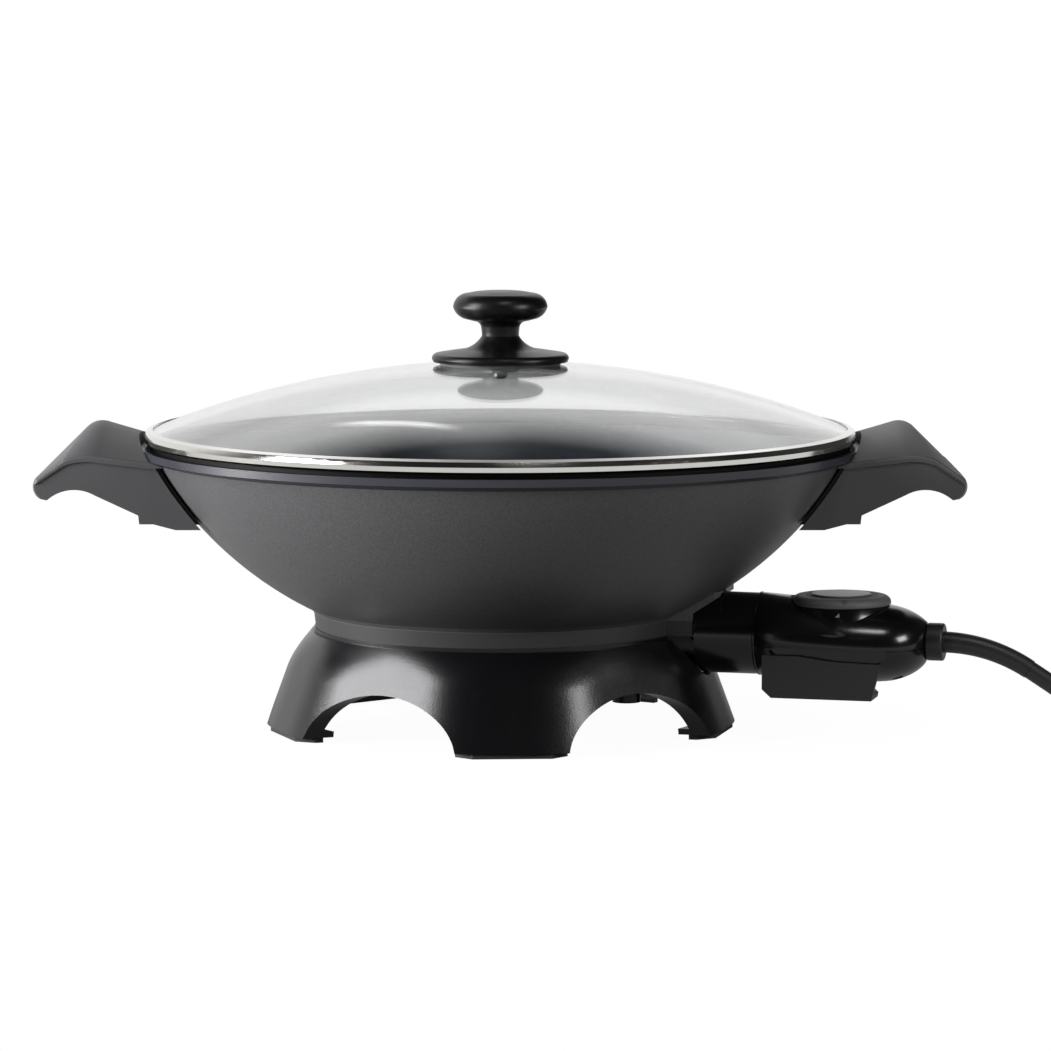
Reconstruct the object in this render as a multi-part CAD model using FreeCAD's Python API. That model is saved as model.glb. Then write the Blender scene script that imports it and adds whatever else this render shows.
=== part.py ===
import FreeCAD, Part
import math
import os

# Electric wok: a cast pan with a cast-in heating element on a five-legged stand, two hollow
# handles, a domed glass lid, and a plug-in thermostat control with its supply cord.
# Millimetres. The origin is on the wok's axis at the table. +X runs through the handles and
# +Z points up. The control points along control_azimuth.

# ---------------------------------------------------------------- driving dimensions
# Pan
rim_radius = 182.0            # outside of the rim
rim_face = 3.7                # height of the rim's vertical face
rim_step = 5.5                # how far the rim stands out past the bowl
rim_slope = 2.3               # height of the slope under the rim face
rim_lip = 3.5                 # thickness of the upstanding lip outside the lid
ledge_depth = 2.5             # lip height above the ledge that the lid sits on
pan_height = 92.0             # foot ring to rim top
pan_wall = 4.0
floor_thickness = 5.0
floor_recess = 8.0            # hollow inside the foot ring, under the floor
bowl_radius = 188.0           # radius of the bowl's outside arc
bowl_foot_radius = 97.4       # where that arc starts
bowl_foot_rise = 10.2         # and how far above the foot ring's edge
ring_radius = 93.8            # foot ring, outside at its edge
ring_flare = 1.0              # how much wider the ring is at its top
ring_wall = 3.5

# Stand
pad_height = 2.5
stand_height = 48.5           # bottom edge of the shell to the top of the deck
stand_wall = 3.0
stand_ledge = 0.8             # the deck's edge outside the pan's foot ring
deck_collar_height = 2.0      # upright edge between the deck and the shoulder
deck_collar_step = 1.4        # how far the shoulder stands out below that edge
deck_thickness = 3.0
deck_inner_radius = 74.0
leg_count = 5
first_leg_azimuth = 273.1
leg_half_angle = 14.8         # from the middle of a leg to its corner
leg_half_width = 28.0         # half the width of a leg between two arches
leg_foot_radius = 122.3       # corner of a leg at the bottom edge
leg_shoulder_radius = 111.6   # corner of a leg at the shoulder
leg_shoulder_height = 31.0
leg_corner_power = 28.0       # larger makes the corners of the legs sharper
shoulder_power = 1.77         # larger keeps the shoulder straight for longer
arch_crown = 27.1
arch_flange = 2.6             # rim of plastic turned in round each arch
arch_flange_depth = 6.0       # how far that rim reaches in behind the shell
leg_floor = 3.0
leg_inner_radius = 103.5      # how far in the floors of the legs reach
pad_face_inset = 1.5          # pad's outer face behind the leg's face
pad_side_inset = 0.5
pad_corner_cut = 8.0
pad_length = 12.0
pad_peg_radius = 3.0
pad_peg_height = 2.6

# Screws that hold the pan to the stand
stand_screw_azimuth = 318.6
stand_screw_count = 3
stand_screw_circle = 84.0
stand_column_radius = 7.0
stand_column_foot = 19.5
stand_screw_radius = 2.0
stand_head_radius = 4.0
stand_head_height = 3.0
stand_screw_grip = 7.5        # shank above the deck

# Heating element and its two terminals
element_radius = 3.3
element_circle = 66.0
element_bend = 12.0
element_spacing = 22.0        # between the two ends
element_rib_wall = 3.4
element_drop = 3.7            # centre line below the pan's floor
terminal_radius = 3.0
terminal_start = 98.0
terminal_end = 126.0
bush_radius = 5.6

# Cast socket for the control
socket_front = 104.0
socket_back = 84.0
socket_half_width = 22.0
hood_front = 116.2
hood_half_width = 23.0
hood_gap = 0.8                # hood to the collar under it
hood_front_low = 70.0         # lower edge of the hood's cheeks at the front
hood_heel = 88.0              # where that edge meets the deck
hood_top = 92.0               # inside the bowl's wall everywhere
socket_rise = 10.0            # top of the socket above the bowl's foot
probe_rib_half_width = 6.6
probe_rib_back = 56.0

# Handles
handle_tip = rim_radius + 53.4        # outermost point
handle_half_width = 57.0
handle_crest = 154.9          # highest point, on the handle's middle line
handle_crest_radius = rim_radius + 19.0
handle_crown = 12.7           # how much lower the crest is at the sides
handle_tip_height = 123.8
handle_lip_height = 116.6
handle_lip_radius = rim_radius + 46.5
handle_finger_height = 125.7  # top of the finger arch in the side walls
handle_finger_radius = rim_radius + 29.5
handle_foot_height = 105.4    # lower edge beside the bowl
handle_foot_radius = rim_radius - 21.0
handle_heel_length = 18.0     # from there in towards the bowl
handle_step_radius = rim_radius - 3.0    # outer end of the step in the lower edge
handle_step_length = 7.0
handle_step_height = 108.3
handle_wall = 3.6
handle_edge_round = 1.8
skirt_recess = 1.0            # the lower part of the side walls is set back
skirt_drop = 2.8              # that part starts this far below the top edge
handle_rim_gap = 0.5          # handle to the pan's rim
handle_end_wall = 3.0         # wall that closes the handle above the lug
handle_boss_radius = 6.2
handle_boss_place = rim_radius - 2.5
handle_boss_foot = 112.5
handle_web = 3.0
handle_web_rise = 4.0         # lower edge of the web above the foot of the boss
lug_half_root = 30.0          # half width of the pan's lug at the rim
lug_half_tip = 17.0
lug_reach = rim_radius + 20.0
lug_bottom = 130.5
lug_thickness = 7.5
handle_screw_radius = 2.0
handle_head_radius = 3.8
handle_head_height = 2.8
handle_screw_grip = 6.0
guard_half_width = 51.0
guard_thickness = 2.2
guard_foot = 107.6
guard_top = 136.0

# Lid
lid_inset = 2.0
lid_radius = rim_radius - lid_inset      # outside of the steel band
glass_radius = 476.0          # outer radius of the dome
glass_thickness = 4.0
glass_edge_radius = lid_radius - 2.8
glass_edge_rise = 7.4         # glass edge above the pan's rim
glass_hole_radius = 4.5
band_sheet = 0.9
band_lip_reach = 1.5          # how far the band reaches over the glass
band_bead_height = 3.0
band_skirt_radius = rim_radius - rim_lip - 1.5
band_skirt_wall = 1.1

# Knob
flange_radius = 34.7
flange_height = 3.6
knob_skirt_height = 14.5
neck_radius = 9.4
knob_grip_height = 21.3
cap_radius = 23.9
cap_equator = 13.1            # widest place of the cap above its joint
knob_gasket_radius = 30.5
knob_gasket_thickness = 0.6
knob_bore_radius = 2.3
insert_radius = 4.0
insert_length = 11.0
knob_screw_radius = 1.95
knob_head_radius = 3.8
knob_head_height = 3.0
washer_radius = 10.0
washer_thickness = 1.2
lower_gasket_thickness = 1.0

# Control
control_azimuth = 345.7
control_height = 51.0         # centre of the collar above the table
collar_radius = 20.5
collar_wall = 2.3
collar_front = 105.0
collar_back = 136.0
collar_bead = 0.5             # raised ring at the back end of the collar
collar_bead_length = 1.6
case_wall = 2.4
seam_height = 47.5
seam_groove = 0.6             # height and depth of the groove along the seam
case_end = 219.4
case_neck_radius = 9.5
dial_place = 176.0
dial_radius = 24.8
dial_seat_height = 66.7
dial_thickness = 4.6
dial_edge_round = 3.4
dial_groove_radius = 17.6     # groove round the middle of the dial's top
dial_groove = 0.5
dial_cap_radius = 15.0
dial_cap_rise = 0.9
dial_cap_depth = 2.0
turret_foot_radius = 29.5     # skirt that carries the dial, where it meets the case
turret_foot_height = 55.0
dial_side_gap = 0.8           # between the dial and the recess that it sits in
dial_shaft_radius = 3.0
dial_shaft_foot = 51.0
block_front = 113.0
block_length = 15.0
contact_wall = 1.3
contact_front = 110.0
contact_length = 24.0
probe_radius = 2.9
probe_tip = 62.0
probe_back = 140.0
shell_screw_radius = 1.4
shell_head_radius = 2.6
shell_head_height = 2.0
shell_screw_places = ((206.5, 9.0), (206.5, -9.0))
shell_boss_radius = 3.6

# Eject lever under the control
lever_front = 141.4
lever_back = 201.2
lever_half_width = 28.7
lever_wall = 2.5
lever_bottom = 22.5
lever_top = ((0.0, 43.7), (18.6, 43.7), (36.6, 41.4))      # from its front, height
lever_back_top = 40.7
lever_back_lean = 4.7         # how far the back slopes in to the bottom
lever_back_skew = 18.0        # how much shorter the lever is on its far side
lever_toe = 4.6               # cut-off corner at the bottom of the front
lever_pin_place = 147.0
lever_pin_height = 34.0
lever_pin_radius = 1.5
lever_pin_cover = 0.8         # skin left outside the pin's blind holes
lever_travel_room = 5.0       # space between the lever's floor and the case
spring_front = 166.0
spring_length = 20.0
spring_half_width = 5.0
spring_sheet = 0.5
spring_bend = 1.5

# Thermostat inside the control
frame_half_width = 12.0
frame_start = 148.0
frame_end = 192.0
frame_sheet = 1.5
frame_height = 41.0
stack_length = 12.0
stack_height = 9.0
blade_sheet = 0.6
blade_half_width = 3.5
post_radius = 2.6

# Cord, strain relief and plug
cord_diameter = 9.0
boot_flange_radius = 9.4
boot_flange_length = 8.8
boot_flange_round = 1.2
boot_start_radius = 5.3
boot_length = 45.0
boot_bend = 80.0              # radius of the sleeve's downward curve
coil_across = 99.0            # middle of the turns
coil_height = 18.0
coil_width = 18.0
plug_radius = 18.5
plug_body_length = 30.0
plug_tail_length = 26.0
plug_pin_radius = 2.4
plug_pin_length = 19.0
plug_pin_spacing = 19.0
cord_touchdown = 330.0        # where the cord reaches the table, from the wok's axis
cord_run = 22.0               # and how far it lies straight before the coil
cord_sag = ((288.5, 26.2), (307.0, 13.5))     # the cord's drop, distance and height
tail_rise = ((0.0, 0.0, 12.5), (0.8, 26.0, 13.4), (-0.6, 52.0, 16.6), (-4.0, 77.0, 18.5))

# Clearances
seat_gap = 0.3                # between parts that lift or slide apart
fit_gap = 0.05                # round a part that is fixed in its hole
pin_gap = 0.08                # round a turning pin
contact_gap = 0.15            # terminal pin in its contact
probe_gap = 0.3               # probe in its bore
collar_gap = 1.0              # control to the casting round it
guard_gap = 0.8               # handle guard to the bowl

# ---------------------------------------------------------------- levels and places
deck_top = pad_height + stand_height
rim_top = deck_top + pan_height
floor_bottom = deck_top + floor_recess
floor_top = floor_bottom + floor_thickness
ledge_height = rim_top - ledge_depth
bowl_top_height = rim_top - rim_face - rim_slope
bowl_top_radius = rim_radius - rim_step
bowl_foot_height = deck_top + bowl_foot_rise
contact_height = floor_bottom - element_drop
glass_edge_height = rim_top + glass_edge_rise
glass_centre = glass_edge_height - math.sqrt(glass_radius ** 2 - glass_edge_radius ** 2)
glass_apex = glass_centre + glass_radius
lug_top = lug_bottom + lug_thickness
lever_floor = lever_bottom + lever_wall
case_bottom = lever_floor + lever_travel_room       # case above the lever's floor
screw_azimuths = [stand_screw_azimuth + 360.0 / stand_screw_count * k for k in range(stand_screw_count)]
leg_azimuths = [first_leg_azimuth + 360.0 / leg_count * k for k in range(leg_count)]
Z_AXIS = FreeCAD.Vector(0, 0, 1)
Y_AXIS = FreeCAD.Vector(0, 1, 0)
X_AXIS = FreeCAD.Vector(1, 0, 0)
ORIGIN = FreeCAD.Vector(0, 0, 0)


# ---------------------------------------------------------------- small helpers
def vec(x, y, z):
    return FreeCAD.Vector(x, y, z)


def profile(start, *steps, y=0.0):
    """Wire in a plane of constant y; a step is the next corner, or (middle, end) of an arc."""
    edges, here = [], start
    for step in steps + (start,):
        is_arc = isinstance(step[0], tuple)
        end = step[1] if is_arc else step
        a, b = vec(here[0], y, here[1]), vec(end[0], y, end[1])
        if is_arc:
            edges.append(Part.Arc(a, vec(step[0][0], y, step[0][1]), b).toShape())
        elif a.distanceToPoint(b) > 1e-6:
            edges.append(Part.makeLine(a, b))
        here = end
    return Part.Wire(edges)


def turned(start, *steps):
    """Solid of revolution about the Z axis from a profile in (radius, height)."""
    return Part.Face(profile(start, *steps)).revolve(ORIGIN, Z_AXIS, 360)


def upright(radius, low, high, x=0.0, y=0.0):
    return Part.makeCylinder(radius, high - low, vec(x, y, low))


def along_x(radius, start, end, y=0.0, z=0.0):
    return Part.makeCylinder(radius, end - start, vec(start, y, z), X_AXIS)


def block(x0, x1, y0, y1, z0, z1):
    return Part.makeBox(x1 - x0, y1 - y0, z1 - z0, vec(x0, y0, z0))


def fused(shape, *others):
    return shape.fuse(list(others)).removeSplitter()


def cut(shape, *others):
    return shape.cut(list(others))


def spun(shape, azimuth):
    """Copy of a shape, turned about the wok's axis."""
    copy = shape.copy()
    copy.rotate(ORIGIN, Z_AXIS, azimuth)
    return copy


def mirrored(shape):
    return shape.mirror(ORIGIN, X_AXIS)


def save(node, shape):
    solids = shape.Solids
    assert solids and shape.isValid(), node
    whole = solids[0] if len(solids) == 1 else Part.makeCompound(solids)
    whole.exportStep("parts/" + node + ".step")


# ---------------------------------------------------------------- pan
def bowl_centre():
    """Centre (radius, height) of the bowl's arc, from its two ends and its radius."""
    r0, z0, r1, z1 = bowl_foot_radius, bowl_foot_height, bowl_top_radius, bowl_top_height
    chord = math.hypot(r1 - r0, z1 - z0)
    rise = math.sqrt(bowl_radius ** 2 - (chord / 2) ** 2)
    return (r0 + r1) / 2 - (z1 - z0) / chord * rise, (z0 + z1) / 2 + (r1 - r0) / chord * rise


bowl_r0, bowl_z0 = bowl_centre()


def bowl_at(height, outside=0.0):
    """Radius of the bowl's outer surface at a height, moved outwards by a distance."""
    return bowl_r0 + math.sqrt((bowl_radius + outside) ** 2 - (height - bowl_z0) ** 2)


def bowl_mid(low, high, outside=0.0):
    """Point on the bowl's arc halfway up between two heights."""
    height = (low + high) / 2
    return bowl_at(height, outside), height


def bowl_outer():
    return turned(
        (0, floor_bottom), (ring_radius - ring_wall, floor_bottom),
        (ring_radius - ring_wall, deck_top), (ring_radius, deck_top),
        (ring_radius + ring_flare, floor_bottom), (bowl_foot_radius, bowl_foot_height),
        (bowl_mid(bowl_foot_height, bowl_top_height), (bowl_top_radius, bowl_top_height)),
        (rim_radius, rim_top - rim_face), (rim_radius, rim_top), (0, rim_top))


def bowl_inner():
    """The space inside the pan, with the ledge for the lid."""
    lip = rim_radius - rim_lip
    over = rim_top + pan_wall
    return turned(
        (0, floor_top), (bowl_at(floor_top, -pan_wall), floor_top),
        (bowl_mid(floor_top, ledge_height, -pan_wall), (bowl_at(ledge_height, -pan_wall), ledge_height)),
        (lip, ledge_height), (lip, over), (0, over))


def around_bowl(gap):
    """The room that a neighbour of the bowl must leave free."""
    foot, top = floor_bottom, rim_top - rim_face - rim_slope
    over = handle_crest * 2
    return turned(
        (0, foot), (bowl_at(foot, gap), foot),
        (bowl_mid(foot, top, gap), (bowl_at(top, gap), top)),
        (rim_radius + gap, top + rim_slope), (rim_radius + gap, over), (0, over))


def element_path():
    """Horseshoe round the floor, with its two ends running out to the socket, as edges."""
    side = element_spacing / 2
    bend_x = math.sqrt((element_circle + element_bend) ** 2 - (side + element_bend) ** 2)
    bend_y = side + element_bend
    share = element_circle / (element_circle + element_bend)
    touch_x, touch_y = bend_x * share, bend_y * share
    half_turn = (math.radians(270) + math.atan2(touch_y - bend_y, touch_x - bend_x) % (2 * math.pi)) / 2
    mid_x = bend_x + element_bend * math.cos(half_turn)
    mid_y = bend_y + element_bend * math.sin(half_turn)
    z = contact_height
    return Part.Wire([
        Part.makeLine(vec(terminal_start, side, z), vec(bend_x, side, z)),
        Part.Arc(vec(bend_x, side, z), vec(mid_x, mid_y, z), vec(touch_x, touch_y, z)).toShape(),
        Part.Arc(vec(touch_x, touch_y, z), vec(-element_circle, 0, z), vec(touch_x, -touch_y, z)).toShape(),
        Part.Arc(vec(touch_x, -touch_y, z), vec(mid_x, -mid_y, z), vec(bend_x, -side, z)).toShape(),
        Part.makeLine(vec(bend_x, -side, z), vec(terminal_start, -side, z))])


def element_tube(radius):
    start = vec(terminal_start, element_spacing / 2, contact_height)
    ring = Part.Wire(Part.makeCircle(radius, start, X_AXIS))
    return spun(element_path().makePipeShell([ring], True, True), control_azimuth)


def handle_lug():
    """Cast tongue on the rim that carries the handle on the +X side."""
    root = bowl_at(lug_bottom) - pan_wall / 2
    flat = Part.makePolygon([
        vec(root, -lug_half_root, lug_bottom), vec(lug_reach, -lug_half_tip, lug_bottom),
        vec(lug_reach, lug_half_tip, lug_bottom), vec(root, lug_half_root, lug_bottom),
        vec(root, -lug_half_root, lug_bottom)])
    lug = Part.Face(flat).extrude(vec(0, 0, lug_thickness))
    corners = [e for e in lug.Edges if abs(e.Vertexes[0].X - lug_reach) < 0.01
               and abs(e.Vertexes[0].Z - e.Vertexes[-1].Z) > 1]
    lug = lug.makeFillet(lug_thickness / 2, corners)
    hole = upright(handle_screw_radius + fit_gap, lug_bottom - 1, lug_bottom + handle_screw_grip + 0.5,
                   handle_boss_place)
    return lug.cut(hole)


def hood():
    """Cast saddle that reaches from the bowl over the control's collar."""
    side = profile((socket_back, deck_top + seat_gap), (hood_heel, deck_top + seat_gap),
                   (hood_front, hood_front_low), (hood_front, hood_top), (socket_back, hood_top),
                   y=-hood_half_width)
    solid = Part.Face(side).extrude(vec(0, 2 * hood_half_width, 0))
    return solid.cut(along_x(collar_radius + hood_gap, socket_front, hood_front + 1, 0, control_height))


def pan():
    rib_low = contact_height - element_radius * 0.9
    ring = element_radius + element_rib_wall
    rib = turned((element_circle - ring, rib_low), (element_circle + ring, rib_low),
                 (element_circle + ring, floor_bottom + 1), (element_circle - ring, floor_bottom + 1))
    socket = block(socket_back, socket_front, -socket_half_width, socket_half_width,
                   deck_top, bowl_foot_height + socket_rise)
    probe_rib = block(probe_rib_back, socket_front, -probe_rib_half_width, probe_rib_half_width,
                      rib_low, floor_bottom + 1)
    cast_on = [rib] + [spun(s, control_azimuth) for s in (socket, hood(), probe_rib)]
    cast_on += [handle_lug(), mirrored(handle_lug())]
    for azimuth in screw_azimuths:
        boss = upright(stand_column_radius - 1, deck_top, floor_bottom + 1, stand_screw_circle)
        cast_on.append(spun(boss, azimuth))
    holes = [bowl_inner(), element_tube(element_radius + fit_gap)]
    bore = along_x(probe_radius + probe_gap, probe_tip - probe_gap * 5, socket_front + 1, 0, contact_height)
    holes.append(spun(bore, control_azimuth))
    for side in (-1, 1):
        seat = along_x(bush_radius + fit_gap, terminal_start, socket_front + 1,
                       side * element_spacing / 2, contact_height)
        holes.append(spun(seat, control_azimuth))
    for azimuth in screw_azimuths:
        hole = upright(stand_screw_radius + fit_gap, deck_top - 1, deck_top + stand_screw_grip + 0.5,
                       stand_screw_circle)
        holes.append(spun(hole, azimuth))
    return bowl_outer().fuse(cast_on).cut(holes)


def element_terminals():
    """Two terminal pins and the ceramic bushes that seat them, as (pins, bushes)."""
    pins, bushes = [], []
    for side in (-1, 1):
        y = side * element_spacing / 2
        pin = along_x(terminal_radius, terminal_start, terminal_end, y, contact_height)
        tip = [e for e in pin.Edges if abs(e.CenterOfMass.x - terminal_end) < 0.01]
        pins.append(pin.makeChamfer(terminal_radius / 4, tip))
        bushes.append(cut(along_x(bush_radius, terminal_start, socket_front, y, contact_height),
                          along_x(terminal_radius + fit_gap, terminal_start - 1, socket_front + 1, y,
                                  contact_height)))
    return spun(Part.makeCompound(pins), control_azimuth), spun(Part.makeCompound(bushes), control_azimuth)


# ---------------------------------------------------------------- stand
def leg_radius(angle, corner):
    """Radius of the legs' ten-sided outline: flat leg faces with flat faces between them."""
    pitch = 360.0 / leg_count
    total = 0.0
    for k in range(leg_count):
        for offset, half in ((0.0, leg_half_angle), (pitch / 2, pitch / 2 - leg_half_angle)):
            face = corner * math.cos(math.radians(half))
            lean = math.cos(math.radians(angle - leg_azimuths[k] - offset))
            if lean > 0.1:
                total += (lean / face) ** leg_corner_power
    return total ** (-1.0 / leg_corner_power)


def stand_section(height, corner, roundness, inset):
    """Closed outline of the stand at a height; roundness 1 makes it a circle."""
    steps = leg_count * 8
    points = []
    for k in range(steps):
        angle = 360.0 / steps * k + first_leg_azimuth
        flat = leg_radius(angle, corner)
        radius = flat + (corner - flat) * roundness - inset
        turn = math.radians(angle)
        points.append(vec(radius * math.cos(turn), radius * math.sin(turn), height))
    curve = Part.BSplineCurve()
    curve.interpolate(Points=points, PeriodicFlag=True)
    return Part.Wire(curve.toShape())


def stand_form(inset, top):
    """The stand's form without its arches: straight flared legs under a rounded shoulder."""
    deck_radius = ring_radius + stand_ledge + deck_collar_step
    lean = (leg_foot_radius - leg_shoulder_radius) / (leg_shoulder_height - pad_height)
    rise = top - leg_shoulder_height
    bend = leg_shoulder_radius - lean * rise - deck_radius
    shoulder = []
    for share in (0.0, 0.35, 0.65, 0.86, 1.0):
        corner = leg_shoulder_radius - lean * rise * share - bend * share ** shoulder_power
        shoulder.append(stand_section(leg_shoulder_height + rise * share, corner, share ** 1.5, inset))
    legs = [stand_section(pad_height, leg_foot_radius, 0.0, inset), shoulder[0]]
    return fused(Part.makeLoft(legs, True, True), Part.makeLoft(shoulder, True, False))


def arch(margin):
    """Cutter for one arch along +X; its sides run parallel to the legs beside it."""
    half_pitch = math.radians(180.0 / leg_count)
    rise, offset = arch_crown + margin, (leg_half_width - margin) / math.cos(half_pitch)
    ends = []
    for half_width in (rise * 1.01, rise * 3.5):
        ends.append(oval((half_width + offset) / math.tan(half_pitch), half_width, rise, 0.0))
    return Part.makeLoft(ends, True, True)


def stand():
    shoulder_top = deck_top - deck_collar_height
    outer = fused(stand_form(0.0, shoulder_top),
                  upright(ring_radius + stand_ledge, leg_shoulder_height, deck_top))
    hollow = stand_form(stand_wall, deck_top - deck_thickness)
    floors = upright(leg_foot_radius * 2, 0, pad_height + leg_floor).cut(
        upright(leg_inner_radius, 0, deck_top))
    behind_rims = stand_form(stand_wall + arch_flange_depth, deck_top)
    kept, arches = [floors], []
    for azimuth in leg_azimuths:
        middle = azimuth + 180.0 / leg_count
        kept.append(spun(arch(arch_flange), middle).cut(behind_rims))
        arches.append(spun(arch(0.0), middle))
    saddle_radius = collar_radius + collar_gap * 1.6
    saddle = along_x(saddle_radius, socket_back, leg_foot_radius * 1.5, 0, control_height)
    passage = block(deck_inner_radius - 5, socket_front + 1, -socket_half_width, socket_half_width,
                    contact_height - element_radius * 3, deck_top + 1)
    eye = upright(deck_inner_radius, 0, deck_top + 1)
    body = outer.cut(hollow.cut(kept)).cut(arches)
    body = body.cut([eye, spun(saddle, control_azimuth), spun(passage, control_azimuth)])
    columns, bores = [], []
    head_seat = deck_top - deck_thickness - stand_head_height
    for azimuth in screw_azimuths:
        columns.append(spun(upright(stand_column_radius, stand_column_foot, deck_top - deck_thickness / 2,
                                    stand_screw_circle), azimuth))
        bores.append(spun(upright(stand_head_radius + 0.5, stand_column_foot - 1, head_seat,
                                  stand_screw_circle), azimuth))
        bores.append(spun(upright(stand_screw_radius + 0.25, head_seat - 1, deck_top + 1,
                                  stand_screw_circle), azimuth))
    for azimuth in leg_azimuths:
        bores.append(spun(upright(pad_peg_radius + fit_gap, pad_height - 1, pad_height + leg_floor + 1,
                                  pad_centre()), azimuth))
    return body.fuse(columns).cut(bores)


def pad_face():
    """Outer face of a foot pad, from the wok's axis."""
    return leg_foot_radius * math.cos(math.radians(leg_half_angle)) - pad_face_inset


def pad_centre():
    return pad_face() - pad_length / 2


def foot_pad():
    """Rubber pad under the leg on the +X side, with a peg that holds it in the leg's floor."""
    outer, inner = pad_face(), pad_face() - pad_length
    side = leg_half_width - pad_side_inset
    narrow, shallow = side - pad_corner_cut, outer - pad_corner_cut
    corners = [(inner, -side), (shallow, -side), (outer, -narrow), (outer, narrow), (shallow, side),
               (inner, side), (inner, -side)]
    flat = Part.makePolygon([vec(x, y, 0) for x, y in corners])
    pad = Part.Face(flat).extrude(vec(0, 0, pad_height))
    peg = upright(pad_peg_radius, pad_height / 2, pad_height + pad_peg_height, pad_centre())
    return fused(pad, peg)


def head_screw(radius, head_radius, head_height, head_seat, tip, x=0.0, y=0.0):
    """Upright screw driven from below: a domed head under head_seat and a shank up to tip."""
    low = head_seat - head_height
    edge = head_height * 0.4
    head = turned((0, low), ((head_radius * 0.7, low + edge * 0.25), (head_radius, low + edge)),
                  (head_radius, head_seat), (radius, head_seat), (radius, tip - radius / 2),
                  (radius / 2, tip), (0, tip))
    reach, half = head_radius * 0.62, head_radius * 0.14
    slots = [block(-reach, reach, -half, half, low - 1, low + edge),
             block(-half, half, -reach, reach, low - 1, low + edge)]
    screw = head.cut(slots)
    screw.translate(vec(x, y, 0))
    return screw


# ---------------------------------------------------------------- handles
def handle_top(share):
    """Corners of a handle's top outline, in (distance from the wok's axis, height).

    Share is 0 on the middle line and 1 at the sides. The corners are the heel beside the bowl,
    the start, top and end of the crest, and the end of the slope behind the tip."""
    k = share ** 2
    crest = handle_crest - handle_crown * k
    x = handle_crest_radius
    return [(handle_foot_radius - handle_heel_length, crest - 18.0 + 11.0 * k),
            (x - 1.4 - 1.6 * k, crest - 0.4 - 0.2 * k), (x + 3.7 + 3.3 * k, crest - 0.3 + 0.3 * k),
            (x + 8.2 + 7.4 * k, crest - 2.8 + 0.8 * k),
            (handle_tip - 1.3 - 4.3 * k, handle_tip_height + 3.7 + 4.0 * k)]


def handle_outer(share, y):
    """Side outline of a handle on the +X side at a distance y from its middle line."""
    k = share ** 2
    heel, rise, crest, fall, slope_end = handle_top(share)
    tip = (handle_tip - 4.5 * k, handle_tip_height + 4.6 * k)
    lip = (handle_lip_radius - 4.3 * k, handle_lip_height + 4.1 * k)
    finger = (handle_finger_radius + 2.0, handle_finger_height - 0.4)
    run_out = (handle_finger_radius - 10.5, handle_finger_height - 3.0)
    step = handle_step_radius
    return profile((heel[0], handle_foot_height), heel, rise, (crest, fall), slope_end,
                   (tip, (lip[0] + 3.0, lip[1] + 0.6)), lip, (finger, run_out),
                   (step + 0.5, handle_step_height + 4.4), (step, handle_step_height),
                   (step - handle_step_length, handle_step_height),
                   (handle_foot_radius, handle_foot_height), y=y)


def handle_hollow(share, y, wall):
    """Outline of a handle's hollow, which is open below and towards the bowl."""
    heel, rise, crest, fall, slope_end = handle_top(share)
    low = handle_foot_height - 20.0
    return profile((heel[0] - 5, low), (heel[0] - 5, heel[1] - wall), (rise[0], rise[1] - wall),
                   ((crest[0] - 0.5, crest[1] - wall), (fall[0] - wall * 0.6, fall[1] - wall * 0.8)),
                   (slope_end[0] - wall * 1.5, slope_end[1]), (handle_lip_radius - wall - 2.0, low), y=y)


def handle_skirt(side):
    """Cutter that sets back the lower part of one side wall."""
    heel, rise, crest, fall, slope_end = [(x, z - skirt_drop) for x, z in handle_top(1.0)]
    low = handle_foot_height - 1
    outline = profile((heel[0] - 1, low), heel, rise, (crest, fall), slope_end,
                      (handle_tip + 1, slope_end[1] - skirt_drop), (handle_tip + 1, low),
                      y=side * (handle_half_width - skirt_recess))
    return Part.Face(outline).extrude(vec(0, side * 2 * skirt_recess, 0))


def handle_body():
    """Hollow moulded handle on the +X side."""
    shares = (-1.0, -0.5, 0.0, 0.5, 1.0)
    inner_width = handle_half_width - handle_wall
    outer = Part.makeLoft([handle_outer(s, s * handle_half_width) for s in shares], True, False)
    hollow = Part.makeLoft([handle_hollow(s, s * inner_width, handle_wall) for s in shares], True, False)
    top_edges = [e for e in outer.Edges if abs(abs(e.CenterOfMass.y) - handle_half_width) < 0.01
                 and e.CenterOfMass.z > handle_finger_height and e.BoundBox.ZMax > handle_tip_height + 6
                 and e.BoundBox.ZMin > handle_foot_height + 15]
    outer = outer.makeFillet(handle_edge_round, top_edges)
    end_wall = around_bowl(handle_rim_gap + handle_end_wall).cut(
        upright(handle_tip * 2, 0, guard_top + seat_gap))
    shell = outer.cut(hollow.cut(end_wall)).cut([handle_skirt(-1), handle_skirt(1)])
    boss = upright(handle_boss_radius, handle_boss_foot, lug_bottom, handle_boss_place)
    web = block(handle_boss_place - handle_web / 2, handle_boss_place + handle_web / 2,
                -handle_half_width + handle_wall / 2, handle_half_width - handle_wall / 2,
                handle_boss_foot + handle_web_rise, lug_bottom - 1)
    body = shell.fuse([boss, web])
    head_seat = handle_boss_foot + handle_head_height + 3.0
    bores = [upright(handle_head_radius + 0.4, handle_boss_foot - 1, head_seat, handle_boss_place),
             upright(handle_screw_radius + 0.2, head_seat - 1, lug_bottom + 1, handle_boss_place)]
    lug_room = block(0, rim_radius + handle_end_wall * 3, -lug_half_root - fit_gap, lug_half_root + fit_gap,
                     lug_bottom, lug_top + fit_gap)
    guard_room = around_bowl(guard_gap + guard_thickness + seat_gap).common(
        upright(handle_tip * 2, 0, guard_top + seat_gap))
    return body.cut(bores + [lug_room, guard_room, around_bowl(handle_rim_gap)])


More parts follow.
